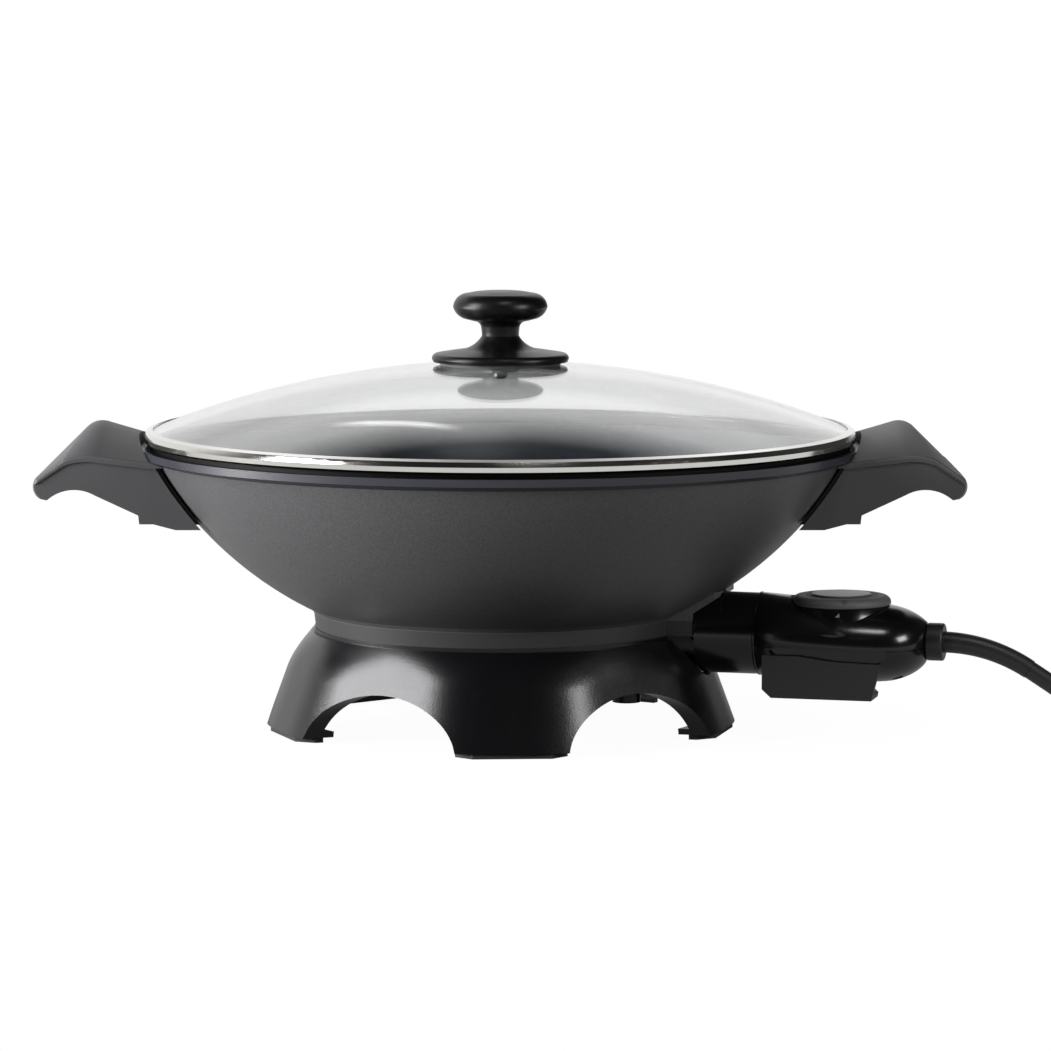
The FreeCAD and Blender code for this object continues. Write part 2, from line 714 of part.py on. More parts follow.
def handle_guard():
    """Steel plate that closes a handle's hollow towards the bowl; the lug passes through it."""
    plate = around_bowl(guard_gap + guard_thickness).cut(around_bowl(guard_gap))
    start = math.sqrt(bowl_at(guard_foot) ** 2 - guard_half_width ** 2)
    window = block(start, rim_radius, -guard_half_width, guard_half_width, guard_foot, guard_top)
    slot = block(handle_foot_radius, lug_reach, -lug_half_root - fit_gap * 4, lug_half_root + fit_gap * 4,
                 lug_bottom - fit_gap * 4, guard_top + 1)
    boss = upright(handle_boss_radius + seat_gap, guard_foot - 5, guard_top, handle_boss_place)
    return plate.common(window).cut([slot, boss])


def handle_screw():
    seat = handle_boss_foot + handle_head_height + 3.0
    return head_screw(handle_screw_radius, handle_head_radius, handle_head_height, seat,
                      lug_bottom + handle_screw_grip, handle_boss_place)


# ---------------------------------------------------------------- lid
def glass_at(radius, below=0.0):
    """Height of the dome's outer surface, or of one below it, at a radius."""
    return glass_centre + math.sqrt((glass_radius - below) ** 2 - radius ** 2)


def lid_glass():
    half = glass_edge_radius / 2
    low = glass_thickness
    return turned((glass_hole_radius, glass_at(glass_hole_radius)),
                  ((half, glass_at(half)), (glass_edge_radius, glass_at(glass_edge_radius))),
                  (glass_edge_radius, glass_at(glass_edge_radius, low)),
                  ((half, glass_at(half, low)), (glass_hole_radius, glass_at(glass_hole_radius, low))))


def lid_band():
    """Rolled steel band round the glass, with a skirt that drops inside the pan's lip."""
    lip = glass_edge_radius - band_lip_reach
    wall = glass_edge_radius + fit_gap
    low = glass_thickness + fit_gap
    bead_top = glass_at(glass_edge_radius) + fit_gap
    bead_bottom = glass_at(wall, low) - band_sheet + 0.4
    skirt_in = band_skirt_radius - band_skirt_wall
    return turned(
        (lip, glass_at(lip) + fit_gap), (wall, bead_top), (wall, glass_at(wall, low)),
        (lip, glass_at(lip, low)), (lip, glass_at(lip, low) - band_sheet),
        (skirt_in, glass_at(skirt_in, low) - band_sheet), (skirt_in, ledge_height + seat_gap),
        (band_skirt_radius, ledge_height + seat_gap), (band_skirt_radius, bead_bottom - 0.4),
        ((lid_radius - 0.7, bead_bottom), (lid_radius - 0.1, bead_bottom + 0.6)),
        (lid_radius, bead_bottom + band_bead_height),
        ((lid_radius - 0.4, bead_bottom + band_bead_height + 0.9),
         (lid_radius - 1.3, bead_top + band_sheet * 0.6)),
        (lip, glass_at(lip) + fit_gap + band_sheet))


knob_base = glass_apex + knob_gasket_thickness
knob_joint = knob_base + knob_skirt_height
knob_top = knob_joint + knob_grip_height


def knob_skirt():
    z = knob_base
    return turned(
        (knob_bore_radius, z), (flange_radius - 0.6, z), (flange_radius, z + flange_height * 0.45),
        ((flange_radius - 0.5, z + flange_height * 0.85), (flange_radius - 2.4, z + flange_height + 0.6)),
        (flange_radius * 0.62, z + flange_height + 2.3),
        ((neck_radius + 4.2, z + flange_height + 4.9), (neck_radius, knob_joint - 1.5)),
        (neck_radius, knob_joint), (knob_bore_radius, knob_joint))


def knob_grip():
    z = knob_joint
    edge = z + cap_equator
    flat = cap_radius * 0.25
    return turned(
        (insert_radius + fit_gap, z), (neck_radius, z), (neck_radius + 0.3, edge - 10.6),
        ((neck_radius + 1.3, edge - 8.3), (neck_radius + 4.0, edge - 7.1)),
        (cap_radius - 5.7, edge - 5.9), ((cap_radius - 1.8, edge - 3.4), (cap_radius, edge)),
        ((cap_radius - 2.0, edge + 4.6), (cap_radius - 7.0, knob_top - 1.3)),
        ((cap_radius * 0.5, knob_top - 0.4), (flat, knob_top)), (0, knob_top),
        (0, z + insert_length + 1), (insert_radius + fit_gap, z + insert_length + 1))


def knob_insert():
    tube = cut(upright(insert_radius, knob_joint, knob_joint + insert_length),
               upright(knob_screw_radius + fit_gap, knob_joint - 1, knob_joint + insert_length + 1))
    return tube


def knob_gasket():
    half = knob_gasket_radius / 2
    return turned((knob_bore_radius, glass_apex), (glass_hole_radius, glass_at(glass_hole_radius)),
                  ((half, glass_at(half)), (knob_gasket_radius, glass_at(knob_gasket_radius))),
                  (knob_gasket_radius, knob_base), (knob_bore_radius, knob_base))


def under_glass(level, radius, thickness):
    """Flat ring round the knob's screw, hanging from a level below the glass."""
    return cut(upright(radius, level - thickness, level),
               upright(knob_bore_radius, level - thickness - 1, level + 1))


# ---------------------------------------------------------------- control
def oval(x, half_width, half_height, centre):
    """Elliptical outline across the control at a distance from the wok's axis."""
    if half_width > half_height:
        ellipse = Part.Ellipse(vec(0, 0, 0), half_width, half_height)
        edge = ellipse.toShape()
        edge.rotate(ORIGIN, X_AXIS, 90)
    else:
        edge = Part.Circle(vec(0, 0, 0), Y_AXIS, half_width).toShape()
    edge.rotate(ORIGIN, Z_AXIS, 90)
    edge.translate(vec(x, 0, centre))
    return Part.Wire(edge)


def case_form(inset):
    """Egg-shaped form of the case, from the collar to the cord's neck."""
    reach = case_end - collar_back
    stations = ((0.0, 21.4, 20.7, 0.0), (0.11, 26.0, 20.7, -0.7), (0.30, 29.5, 20.5, -1.5),
                (0.57, 30.0, 20.3, -2.3), (0.74, 27.8, 19.4, -2.8), (0.86, 24.5, 17.2, -2.7),
                (0.94, 19.0, 14.0, -2.5), (0.985, 13.0, 11.0, -2.0),
                (1.0, case_neck_radius + 0.05, case_neck_radius, neck_height() - control_height))
    shift = inset * 0.9
    rings = []
    for share, wide, high, sink in stations:
        x = collar_back + shift + (reach - 2 * shift) * share
        rings.append(oval(x, wide - inset, high - inset, control_height + sink))
    return Part.makeLoft(rings, True, False)


def case_shells():
    """Upper and lower shell of the case, split at the seam."""
    big = 200.0
    turret_radius = dial_radius - 0.6
    waist = (turret_radius + 1.6, (turret_foot_height + dial_seat_height) / 2)
    turret = turned((0, control_height), (turret_foot_radius, control_height),
                    (turret_foot_radius, turret_foot_height), (waist, (turret_radius, dial_seat_height)),
                    (0, dial_seat_height))
    turret.translate(vec(dial_place, 0, 0))
    recess = upright(dial_radius + dial_side_gap, dial_seat_height, big, dial_place)
    outer = fused(case_form(0.0), turret).cut(recess)
    roof = dial_seat_height - case_wall
    over_dial = upright(dial_radius + dial_side_gap + case_wall, roof, big, dial_place)
    hollow = fused(case_form(case_wall).cut(over_dial),
                   upright(turret_radius - case_wall, control_height, roof, dial_place))
    above = block(0, case_end * 2, -big, big, seam_height, big)
    below = block(0, case_end * 2, -big, big, -big, seam_height)
    neck_bore = along_x(boot_start_radius + 0.4, case_end - 12, case_end + 1, 0, neck_height())
    shaft_hole = upright(dial_shaft_radius + pin_gap, roof - 1, dial_seat_height + 1, dial_place)
    front_bore = along_x(collar_radius - collar_wall, collar_back - 1, collar_back + case_wall + 2,
                         0, control_height)
    upper = outer.cut([hollow, shaft_hole, neck_bore, front_bore]).common(above)
    side = lever_half_width - lever_wall - 0.5
    start, end = lever_front - 1.5, lever_back + 2.0
    pockets = [block(start, end, side, big, -big, seam_height),
               block(start, end, -big, -side, -big, seam_height),
               block(start, end, -big, big, -big, case_bottom)]
    side -= case_wall
    start, end = start - case_wall, end + case_wall
    liners = [block(start, end, side, big, -big, seam_height),
              block(start, end, -big, -side, -big, seam_height),
              block(start, end, -big, big, -big, case_bottom + case_wall)]
    groove = block(0, case_end * 2, -big, big, seam_height - seam_groove, seam_height).cut(
        case_form(seam_groove))
    form = outer.common(below)
    lower = form.cut(pockets + [groove]).cut(hollow.cut(liners))
    lower = lower.cut([neck_bore, front_bore])
    posts = [upright(post_radius, case_bottom, frame_height, x, y)
             for x in (frame_start + 4, frame_end - 4)
             for y in (-frame_half_width + 3, frame_half_width - 3)]
    bosses = [upright(shell_boss_radius, case_bottom - case_wall, seam_height, x, y).common(form)
              for x, y in shell_screw_places]
    boss_side = lever_half_width - lever_wall - 0.5
    pin_boss = block(lever_pin_place - 4, lever_pin_place + 4, -boss_side, boss_side, case_bottom,
                     lever_pin_height + 4)
    lower = lower.fuse([pin_boss] + posts + bosses)
    holes = [Part.makeCylinder(lever_pin_radius + fit_gap, big,
                               vec(lever_pin_place, -big / 2, lever_pin_height), Y_AXIS)]
    for x, y in shell_screw_places:
        holes.append(upright(shell_screw_radius + 0.1, -1, seam_height + 1, x, y))
        holes.append(upright(shell_head_radius + 0.2, -1, screw_seat(), x, y))
    lower = lower.cut(holes)
    anchors = [upright(shell_boss_radius, seam_height, control_height + 12, x, y).common(outer).cut(
        upright(shell_screw_radius + fit_gap, seam_height - 1, control_height + 8, x, y))
        for x, y in shell_screw_places]
    upper = upper.fuse(anchors)
    return upper, lower


def neck_height():
    return control_height - 1.5


def screw_seat():
    return control_height - 16.0


def collar():
    """Tube that plugs into the socket, with a rounded ring where it meets the case."""
    inner, outer = collar_radius - collar_wall, collar_radius + collar_bead
    ring = collar_front, collar_back
    tube = turned((inner, ring[0]), (collar_radius, ring[0]), (collar_radius, ring[1] - collar_bead_length),
                  ((outer, ring[1] - collar_bead_length / 2), (collar_radius + collar_bead / 2, ring[1])),
                  (inner, ring[1]))
    tube.rotate(ORIGIN, Y_AXIS, 90)
    tube.translate(vec(0, 0, control_height))
    return tube


def contact_block():
    holes = [along_x(probe_radius + fit_gap, 0, case_end, 0, contact_height)]
    for side in (-1, 1):
        holes.append(along_x(terminal_radius + contact_gap + contact_wall + fit_gap, 0, case_end,
                             side * element_spacing / 2, contact_height))
    radius = collar_radius - collar_wall - fit_gap
    return along_x(radius, block_front, block_front + block_length, 0, control_height).cut(holes)


def contacts():
    tubes = []
    for side in (-1, 1):
        y = side * element_spacing / 2
        bore = terminal_radius + contact_gap
        back = contact_front + contact_length
        tubes.append(cut(along_x(bore + contact_wall, contact_front, back, y, contact_height),
                         along_x(bore, contact_front - 1, back - 4, y, contact_height)))
    return Part.makeCompound(tubes)


def probe():
    body = along_x(probe_radius, probe_tip + probe_radius, probe_back, 0, contact_height)
    nose = Part.makeSphere(probe_radius, vec(probe_tip + probe_radius, 0, contact_height))
    return fused(body, nose)


def dial():
    """Dial, its cap and its shaft."""
    low = dial_seat_height + seat_gap
    high = low + dial_thickness
    r = dial_edge_round
    k = r * (1 - math.sqrt(0.5))
    groove = dial_groove_radius
    knob = turned(
        (dial_shaft_radius, low), (dial_radius - 0.8, low), (dial_radius, low + 0.6),
        (dial_radius, high - r), ((dial_radius - k, high - k), (dial_radius - r, high)),
        (groove + dial_groove, high), (groove, high - dial_groove), (groove - dial_groove, high),
        (dial_cap_radius + 0.8, high), (dial_cap_radius + 0.3, high - 0.5),
        (dial_cap_radius + 0.3, high - dial_cap_depth), (dial_shaft_radius, high - dial_cap_depth))
    knob.translate(vec(dial_place, 0, 0))
    cap_high = high + dial_cap_rise
    cap = turned((0, high - dial_cap_depth), (dial_cap_radius, high - dial_cap_depth),
                 (dial_cap_radius, cap_high - 0.5), (dial_cap_radius - 0.5, cap_high), (0, cap_high))
    cap.translate(vec(dial_place, 0, 0))
    shaft = upright(dial_shaft_radius, dial_shaft_foot, high - dial_cap_depth, dial_place)
    return knob, cap, shaft


def lever():
    """Channel-shaped trigger: two cheeks joined by a floor, hinged near its front."""
    top = [(lever_front + x, z) for x, z in lever_top]
    outline = profile(*top, (lever_back, lever_back_top), (lever_back - lever_back_lean, lever_bottom),
                      (lever_front + lever_toe, lever_bottom), (lever_front, lever_bottom + lever_toe * 0.9),
                      y=-lever_half_width)
    solid = Part.Face(outline).extrude(vec(0, 2 * lever_half_width, 0))
    inner = lever_half_width - lever_wall
    far, way_back = lever_half_width + 1, lever_back + 1
    slant = Part.makePolygon([vec(way_back, -inner, 0), vec(way_back, far, 0),
                              vec(lever_back - lever_back_skew, far, 0), vec(way_back, -inner, 0)])
    skewed = Part.Face(slant).extrude(vec(0, 0, seam_height))
    inside = block(lever_front - 1, lever_back + 1, -inner, inner, lever_floor, seam_height)
    half = lever_half_width - lever_pin_cover
    bore = Part.makeCylinder(lever_pin_radius + pin_gap, 2 * half,
                             vec(lever_pin_place, -half, lever_pin_height), Y_AXIS)
    return solid.cut([inside, bore, skewed])


def lever_pin():
    half = lever_half_width - lever_pin_cover - fit_gap
    return Part.makeCylinder(lever_pin_radius, 2 * half,
                             vec(lever_pin_place, -half, lever_pin_height), Y_AXIS)


def lever_spring():
    """Folded leaf: one leg lies on the lever's floor and the other presses up on the case."""
    low, high = lever_floor + fit_gap, case_bottom - fit_gap
    t, bend = spring_sheet, spring_bend
    front, back = spring_front + bend, spring_front + spring_length
    fold = low + 2 * bend
    leaf = profile((back, low), (front, low), ((front - bend, low + bend), (front, fold)),
                   (back - 2, high), (back - 1.8, high - t), (front, fold - t),
                   ((front - bend + t, low + bend), (front, low + t)), (back, low + t), y=-spring_half_width)
    return Part.Face(leaf).extrude(vec(0, 2 * spring_half_width, 0))


def thermostat():
    """Frame, ceramic stack and two spring blades that the dial's shaft presses on."""
    base = frame_height + frame_sheet
    frame = block(frame_start, frame_end, -frame_half_width, frame_half_width, frame_height, base)
    stack_x = frame_start + 2
    half = blade_half_width + 2.5
    stack = block(stack_x, stack_x + stack_length, -half, half, base, base + stack_height)
    lower_z = base + stack_height * 0.45
    upper_z = base + stack_height * 0.75
    reach = dial_place + 8
    blades = [block(stack_x + 2, reach, -blade_half_width, blade_half_width, lower_z, lower_z + blade_sheet),
              block(stack_x + 2, reach, -blade_half_width, blade_half_width, upper_z, upper_z + blade_sheet)]
    return frame, stack.cut(blades), Part.makeCompound(blades)


def shell_screws():
    screws = []
    for x, y in shell_screw_places:
        screws.append(head_screw(shell_screw_radius, shell_head_radius, shell_head_height, screw_seat(),
                                 control_height + 6, x, y))
    return Part.makeCompound(screws)


# ---------------------------------------------------------------- strain relief, cord and plug
def boot_point(length):
    """Point (x, z) and downward slope on the sleeve's middle line, at a length from the flange."""
    turn = length / boot_bend
    start = case_end + boot_flange_length
    return (start + boot_bend * math.sin(turn),
            neck_height() - boot_bend * (1 - math.cos(turn)), turn)


def strain_relief():
    start = case_end + fit_gap
    flange = along_x(boot_flange_radius, start, start + boot_flange_length, 0, neck_height())
    edges = [e for e in flange.Edges if e.Curve.TypeId == "Part::GeomCircle"]
    flange = flange.makeFillet(boot_flange_round, edges)
    root = along_x(boot_start_radius, case_end - 10, start + 1, 0, neck_height())
    rings = []
    for k in range(6):
        length = boot_length * k / 5
        x, z, turn = boot_point(length)
        radius = boot_start_radius + (cord_diameter / 2 + 0.3 - boot_start_radius) * k / 5
        along = vec(math.cos(turn), 0, -math.sin(turn))
        rings.append(Part.Wire(Part.makeCircle(radius, vec(x, 0, z), along)))
    sleeve = Part.makeLoft(rings, True, False)
    end = case_end + boot_flange_length
    stub = along_x(boot_start_radius, end - 1, end, 0, neck_height())
    return fused(flange, root, stub, sleeve)


def on_axis(x, z):
    """Point of the control's middle plane, turned to its place round the wok."""
    turn = math.radians(control_azimuth)
    return vec(x * math.cos(turn), x * math.sin(turn), z)


floor_line = cord_diameter / 2
boot_end_x, boot_end_z, boot_end_turn = boot_point(boot_length)
lead_points = [on_axis(boot_end_x, boot_end_z)] + [on_axis(x, z) for x, z in cord_sag]
lead_points += [on_axis(cord_touchdown, floor_line), on_axis(cord_touchdown + cord_run, floor_line)]
coil_turn_radius = coil_across / 2 + cord_diameter / 2
coil_middle = lead_points[-1] + coil_turn_radius * vec(
    -math.sin(math.radians(control_azimuth)), math.cos(math.radians(control_azimuth)), 0)
coil_middle.z = 0
tail_points = [coil_middle + vec(coil_across / 2 + x, y, z) for x, y, z in tail_rise]


def cord_tube(name, points):
    """Round tube along straight runs that are joined by tangent arcs as large as they fit."""
    edges, here, length = [], points[0], 0.0
    for before, corner, after in zip(points, points[1:], points[2:]):
        back, ahead = before - corner, after - corner
        half = (math.pi - back.getAngle(ahead)) / 2
        reach = 0.45 * min(back.Length, ahead.Length)
        radius = reach / math.tan(half)
        print(name, "bend radius %.1f" % radius)
        start = corner + back.normalize() * reach
        end = corner + ahead.normalize() * reach
        middle_way = (back + ahead).normalize()
        middle = corner + middle_way * (radius / math.cos(half) - radius)
        edges += [Part.LineSegment(here, start).toShape(), Part.Arc(start, middle, end).toShape()]
        length += here.distanceToPoint(start) + radius * 2 * half
        here = end
    edges.append(Part.LineSegment(here, points[-1]).toShape())
    length += here.distanceToPoint(points[-1])
    ring = Part.Wire(Part.makeCircle(cord_diameter / 2, points[0], points[1] - points[0]))
    tube = Part.Wire(edges).makePipeShell([ring], True, True)
    section = math.pi * cord_diameter ** 2 / 4
    share = tube.Volume / section / length
    print(name, "length %.1f, volume over section times length %.4f" % (length, share))
    return tube


def coil():
    """Outer shape of the wound cord: a ring with a rounded section."""
    inner, outer = coil_across / 2 - coil_width / 2, coil_across / 2 + coil_width / 2
    r = cord_diameter / 3
    k = r * (1 - math.sqrt(0.5))
    ring = turned((inner + r, 0), (outer - r, 0), ((outer - k, k), (outer, r)), (outer, coil_height - r),
                  ((outer - k, coil_height - k), (outer - r, coil_height)), (inner + r, coil_height),
                  ((inner + k, coil_height - k), (inner, coil_height - r)), (inner, r),
                  ((inner + k, k), (inner + r, 0)))
    ring.translate(coil_middle)
    return ring


def plug():
    """Round two-pin plug lying on its side, as (body, pins)."""
    way = tail_points[-1] - tail_points[-2]
    heading = math.degrees(math.atan2(way.y, way.x))
    tail, length = plug_tail_length, plug_body_length
    neck = cord_diameter / 2
    body = turned(
        (0, 0), (neck + 1.2, 0), (neck + 1.8, 1.2), (neck + 3.6, tail),
        ((plug_radius * 0.72, tail + 3.5), (plug_radius - 3.0, tail + length * 0.36)),
        (plug_radius - 3.0, tail + length * 0.62), (plug_radius, tail + length * 0.72),
        (plug_radius, tail + length - 1), (plug_radius - 1, tail + length), (0, tail + length))
    notch = [block(-3, 3, side * plug_radius - 2.2, side * plug_radius + 2.2, tail + length * 0.7,
                   tail + length + 1) for side in (-1, 1)]
    body = body.cut(notch)
    pins = []
    for side in (-1, 1):
        x = side * plug_pin_spacing / 2
        pin = upright(plug_pin_radius, tail + length, tail + length + plug_pin_length, x)
        tip = [e for e in pin.Edges if abs(e.CenterOfMass.z - tail - length - plug_pin_length) < 0.01]
        pins.append(pin.makeFillet(plug_pin_radius * 0.6, tip))
    placed = []
    for shape in (body, Part.makeCompound(pins)):
        shape.rotate(ORIGIN, Y_AXIS, 90)
        shape.rotate(ORIGIN, X_AXIS, 90)
        shape.rotate(ORIGIN, Z_AXIS, heading)
        shape.translate(tail_points[-1])
        placed.append(shape)
    return placed


# ---------------------------------------------------------------- the assembly
os.makedirs("parts", exist_ok=True)

save("wok_pan", pan())
save("heating_element", element_tube(element_radius))
pins, bushes = element_terminals()
save("element_terminals", pins)
save("terminal_bushes", bushes)

save("base_stand", stand())
for number, azimuth in enumerate(leg_azimuths):
    save("foot_pad_%d" % (number + 1), spun(foot_pad(), azimuth))
stand_screw = head_screw(stand_screw_radius, stand_head_radius, stand_head_height,
                         deck_top - deck_thickness - stand_head_height, deck_top + stand_screw_grip,
                         stand_screw_circle)
save("stand_screws", Part.makeCompound([spun(stand_screw, azimuth) for azimuth in screw_azimuths]))

save("right_handle", handle_body())
save("left_handle", mirrored(handle_body()))
save("right_handle_guard", handle_guard())
save("left_handle_guard", mirrored(handle_guard()))
save("handle_screws", Part.makeCompound([handle_screw(), mirrored(handle_screw())]))

save("lid_glass", lid_glass())
save("lid_band", lid_band())
save("knob_skirt", knob_skirt())
save("knob_grip", knob_grip())
save("knob_insert", knob_insert())
save("knob_gasket", knob_gasket())
glass_under = glass_at(washer_radius, glass_thickness)
save("knob_lower_gasket", under_glass(glass_under, washer_radius, lower_gasket_thickness))
washer_level = glass_under - lower_gasket_thickness
save("knob_washer", under_glass(washer_level, washer_radius - 1, washer_thickness))
save("knob_screw", head_screw(knob_screw_radius, knob_head_radius, knob_head_height,
                              washer_level - washer_thickness, knob_joint + insert_length))

upper_shell, lower_shell = case_shells()
dial_knob, dial_cap, dial_shaft = dial()
thermostat_frame, thermostat_stack, thermostat_blades = thermostat()
control_pieces = {
    "control_collar": collar().cut(around_bowl(collar_gap)),
    "control_upper_shell": upper_shell,
    "control_lower_shell": lower_shell,
    "contact_block": contact_block(),
    "socket_contacts": contacts(),
    "sensor_probe": probe(),
    "dial_knob": dial_knob,
    "dial_cap": dial_cap,
    "dial_shaft": dial_shaft,
    "eject_lever": lever(),
    "lever_pin": lever_pin(),
    "lever_spring": lever_spring(),
    "thermostat_frame": thermostat_frame,
    "thermostat_stack": thermostat_stack,
    "thermostat_blades": thermostat_blades,
    "shell_screws": shell_screws(),
    "strain_relief": strain_relief(),
}
for node, shape in control_pieces.items():
    save(node, spun(shape, control_azimuth))

save("supply_cord", cord_tube("supply_cord", lead_points))
save("cord_coil", coil())
save("plug_tail", cord_tube("plug_tail", tail_points))
plug_body, plug_pins = plug()
save("plug_body", plug_body)
save("plug_pins", plug_pins)
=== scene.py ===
import bpy
import numpy as np
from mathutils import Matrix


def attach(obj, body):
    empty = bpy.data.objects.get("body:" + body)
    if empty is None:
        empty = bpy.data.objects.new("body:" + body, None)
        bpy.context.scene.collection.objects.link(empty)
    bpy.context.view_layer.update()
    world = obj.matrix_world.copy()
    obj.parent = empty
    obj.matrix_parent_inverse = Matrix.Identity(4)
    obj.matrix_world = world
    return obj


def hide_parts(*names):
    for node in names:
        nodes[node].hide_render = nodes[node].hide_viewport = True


# An electric wok: a cast pan on a five-legged stand, two hollow handles, a domed glass lid and a
# plug-in thermostat control with its supply cord. Metres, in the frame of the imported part.
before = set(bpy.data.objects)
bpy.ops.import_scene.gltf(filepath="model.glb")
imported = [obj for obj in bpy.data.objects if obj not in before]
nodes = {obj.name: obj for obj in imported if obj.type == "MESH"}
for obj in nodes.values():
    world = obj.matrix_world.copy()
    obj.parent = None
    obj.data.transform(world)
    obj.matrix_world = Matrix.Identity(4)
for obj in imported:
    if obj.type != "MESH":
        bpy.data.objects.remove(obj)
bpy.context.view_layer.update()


# ---------------------------------------------------------------- the studio
# A white seamless floor and backdrop, big soft lamps on the left, a weaker one on the right and a
# small one high in front. The camera looks along the table, a little down, from two and a half metres.
scene = bpy.context.scene
scene.view_settings.view_transform = "Standard"
eye_place = (0.0127, -2.5, 0.375)
eye_tilt = np.radians(6.24)
lens_mm, sensor_mm = 169.7, 36.0
eye = bpy.data.objects.new("eye", bpy.data.cameras.new("eye"))
eye.data.lens, eye.data.sensor_width = lens_mm, sensor_mm
eye.location = eye_place
eye.rotation_euler = (np.pi / 2 - eye_tilt, 0.0, 0.0)
scene.collection.objects.link(eye)
scene.camera = eye


def node_of(tree, kind, **values):
    """New shader node; a value goes to the setting of that name, or else to that input."""
    node = tree.nodes.new(kind)
    for key, value in values.items():
        if hasattr(node, key):
            setattr(node, key, value)
        else:
            node.inputs[key.replace("_", " ")].default_value = value
    return node


def join(tree, source, target, output=0):
    """Links an output of one node to a socket."""
    tree.links.new(source.outputs[output], target)


def ramp(tree, source, stops, output=0):
    """Grey ramp from (place, value) pairs, fed by a node."""
    node = node_of(tree, "ShaderNodeValToRGB")
    elements = node.color_ramp.elements
    while len(elements) < len(stops):
        elements.new(1.0)
    for element, (place, value) in zip(elements, stops):
        element.position = place
        element.color = (value, value, value, 1.0)
    join(tree, source, node.inputs["Fac"], output)
    return node


def soft_lamp(name, place, aim, size, watts, colour=(1.0, 1.0, 1.0)):
    """Rectangular lamp at a place, turned to face a point."""
    lamp = bpy.data.objects.new(name, bpy.data.lights.new(name, "AREA"))
    lamp.data.shape = "RECTANGLE"
    lamp.data.size, lamp.data.size_y = size
    lamp.data.energy = watts
    lamp.data.color = colour
    way = np.array(aim) - np.array(place)
    turn = np.arctan2(way[1], way[0])
    fall = np.arctan2(way[2], np.hypot(way[0], way[1]))
    lamp.location = place
    lamp.rotation_euler = (np.pi / 2 + fall, 0.0, turn - np.pi / 2)
    scene.collection.objects.link(lamp)
    return lamp


middle = (0.0, 0.0, 0.1)
soft_lamp("left_softbox", (-1.9, -0.67, 0.95), middle, (0.8, 1.3), 62.0, (0.98, 0.98, 1.0))
unmirrored = soft_lamp("front_left_softbox", (-1.75, -0.95, 0.5), (-0.15, 0.0, 0.1), (0.35, 0.6), 46.0)
unmirrored.visible_glossy = False
soft_lamp("right_softbox", (1.56, -1.04, 0.92), middle, (0.7, 0.5), 17.0)
soft_lamp("high_front_softbox", (0.26, -0.81, 1.47), (0.18, -0.07, 0.06), (0.35, 0.25), 3.5)
soft_lamp("low_left_softbox", (-1.9, -0.15, 0.28), middle, (0.6, 0.4), 24.0)

# Mirroring and clear surfaces see a grey wall behind the wok: it ends under the ceiling and at a black
# flag on the right. Matt surfaces get an even fill, and the eye sees white, also straight through glass.
world = bpy.data.worlds.new("studio")
scene.world = world
world.use_nodes = True
tree = world.node_tree
tree.nodes.clear()
ways = node_of(tree, "ShaderNodeTexCoord")
parts_of_way = node_of(tree, "ShaderNodeSeparateXYZ")
join(tree, ways, parts_of_way.inputs[0])
behind = ramp(tree, parts_of_way, [(0.1, 0.0), (0.55, 1.0)], output="Y")
under_ceiling = ramp(tree, parts_of_way,
                     [(0.38, 0.75), (0.46, 1.0), (0.57, 1.0), (0.65, 0.36), (0.69, 0.0)], output="Z")
halved = node_of(tree, "ShaderNodeMath", operation="MULTIPLY_ADD")
halved.inputs[1].default_value = halved.inputs[2].default_value = 0.5
join(tree, parts_of_way, halved.inputs[0], "X")
beside_flag = ramp(tree, halved, [(0.60, 1.0), (0.72, 0.03)])
wall = node_of(tree, "ShaderNodeMath", operation="MULTIPLY")
join(tree, behind, wall.inputs[0])
join(tree, under_ceiling, wall.inputs[1])
unlit_side = 0.012
backdrop = node_of(tree, "ShaderNodeMath", operation="MULTIPLY_ADD")
join(tree, wall, backdrop.inputs[0])
join(tree, beside_flag, backdrop.inputs[1])
backdrop.inputs[2].default_value = unlit_side
# A strip light up behind the wok, seen only as a thin streak in the glass.
strip_glow = 1.8
strip_line = node_of(tree, "ShaderNodeMath", operation="SUBTRACT")
join(tree, parts_of_way, strip_line.inputs[0], "Z")
join(tree, parts_of_way, strip_line.inputs[1], "X")
strip_height = ramp(tree, strip_line, [(0.655, 0.0), (0.662, 1.0), (0.672, 1.0), (0.679, 0.0)])
strip_width = ramp(tree, halved, [(0.425, 0.0), (0.440, 1.0), (0.465, 1.0), (0.480, 0.0)])
strip = node_of(tree, "ShaderNodeMath", operation="MULTIPLY")
join(tree, strip_height, strip.inputs[0])
join(tree, strip_width, strip.inputs[1])
lit_backdrop = node_of(tree, "ShaderNodeMath", operation="MULTIPLY_ADD")
join(tree, strip, lit_backdrop.inputs[0])
lit_backdrop.inputs[1].default_value = strip_glow
join(tree, backdrop, lit_backdrop.inputs[2])
mirrored_studio = node_of(tree, "ShaderNodeBackground", Strength=1.3)
join(tree, lit_backdrop, mirrored_studio.inputs["Color"])
fill = node_of(tree, "ShaderNodeBackground", Color=(0.06, 0.06, 0.062, 1.0))
white = node_of(tree, "ShaderNodeBackground", Color=(1.0, 1.0, 1.0, 1.0))
light_path = node_of(tree, "ShaderNodeLightPath")
straight = ramp(tree, parts_of_way, [(0.08, 1.0), (0.14, 0.0)], output="Z")
seen_through = node_of(tree, "ShaderNodeMath", operation="MULTIPLY")
join(tree, light_path, seen_through.inputs[0], "Is Transmission Ray")
join(tree, straight, seen_through.inputs[1])
seen = node_of(tree, "ShaderNodeMath", operation="MAXIMUM")
join(tree, light_path, seen.inputs[0], "Is Camera Ray")
join(tree, seen_through, seen.inputs[1])
mirrored = node_of(tree, "ShaderNodeMath", operation="MAXIMUM")
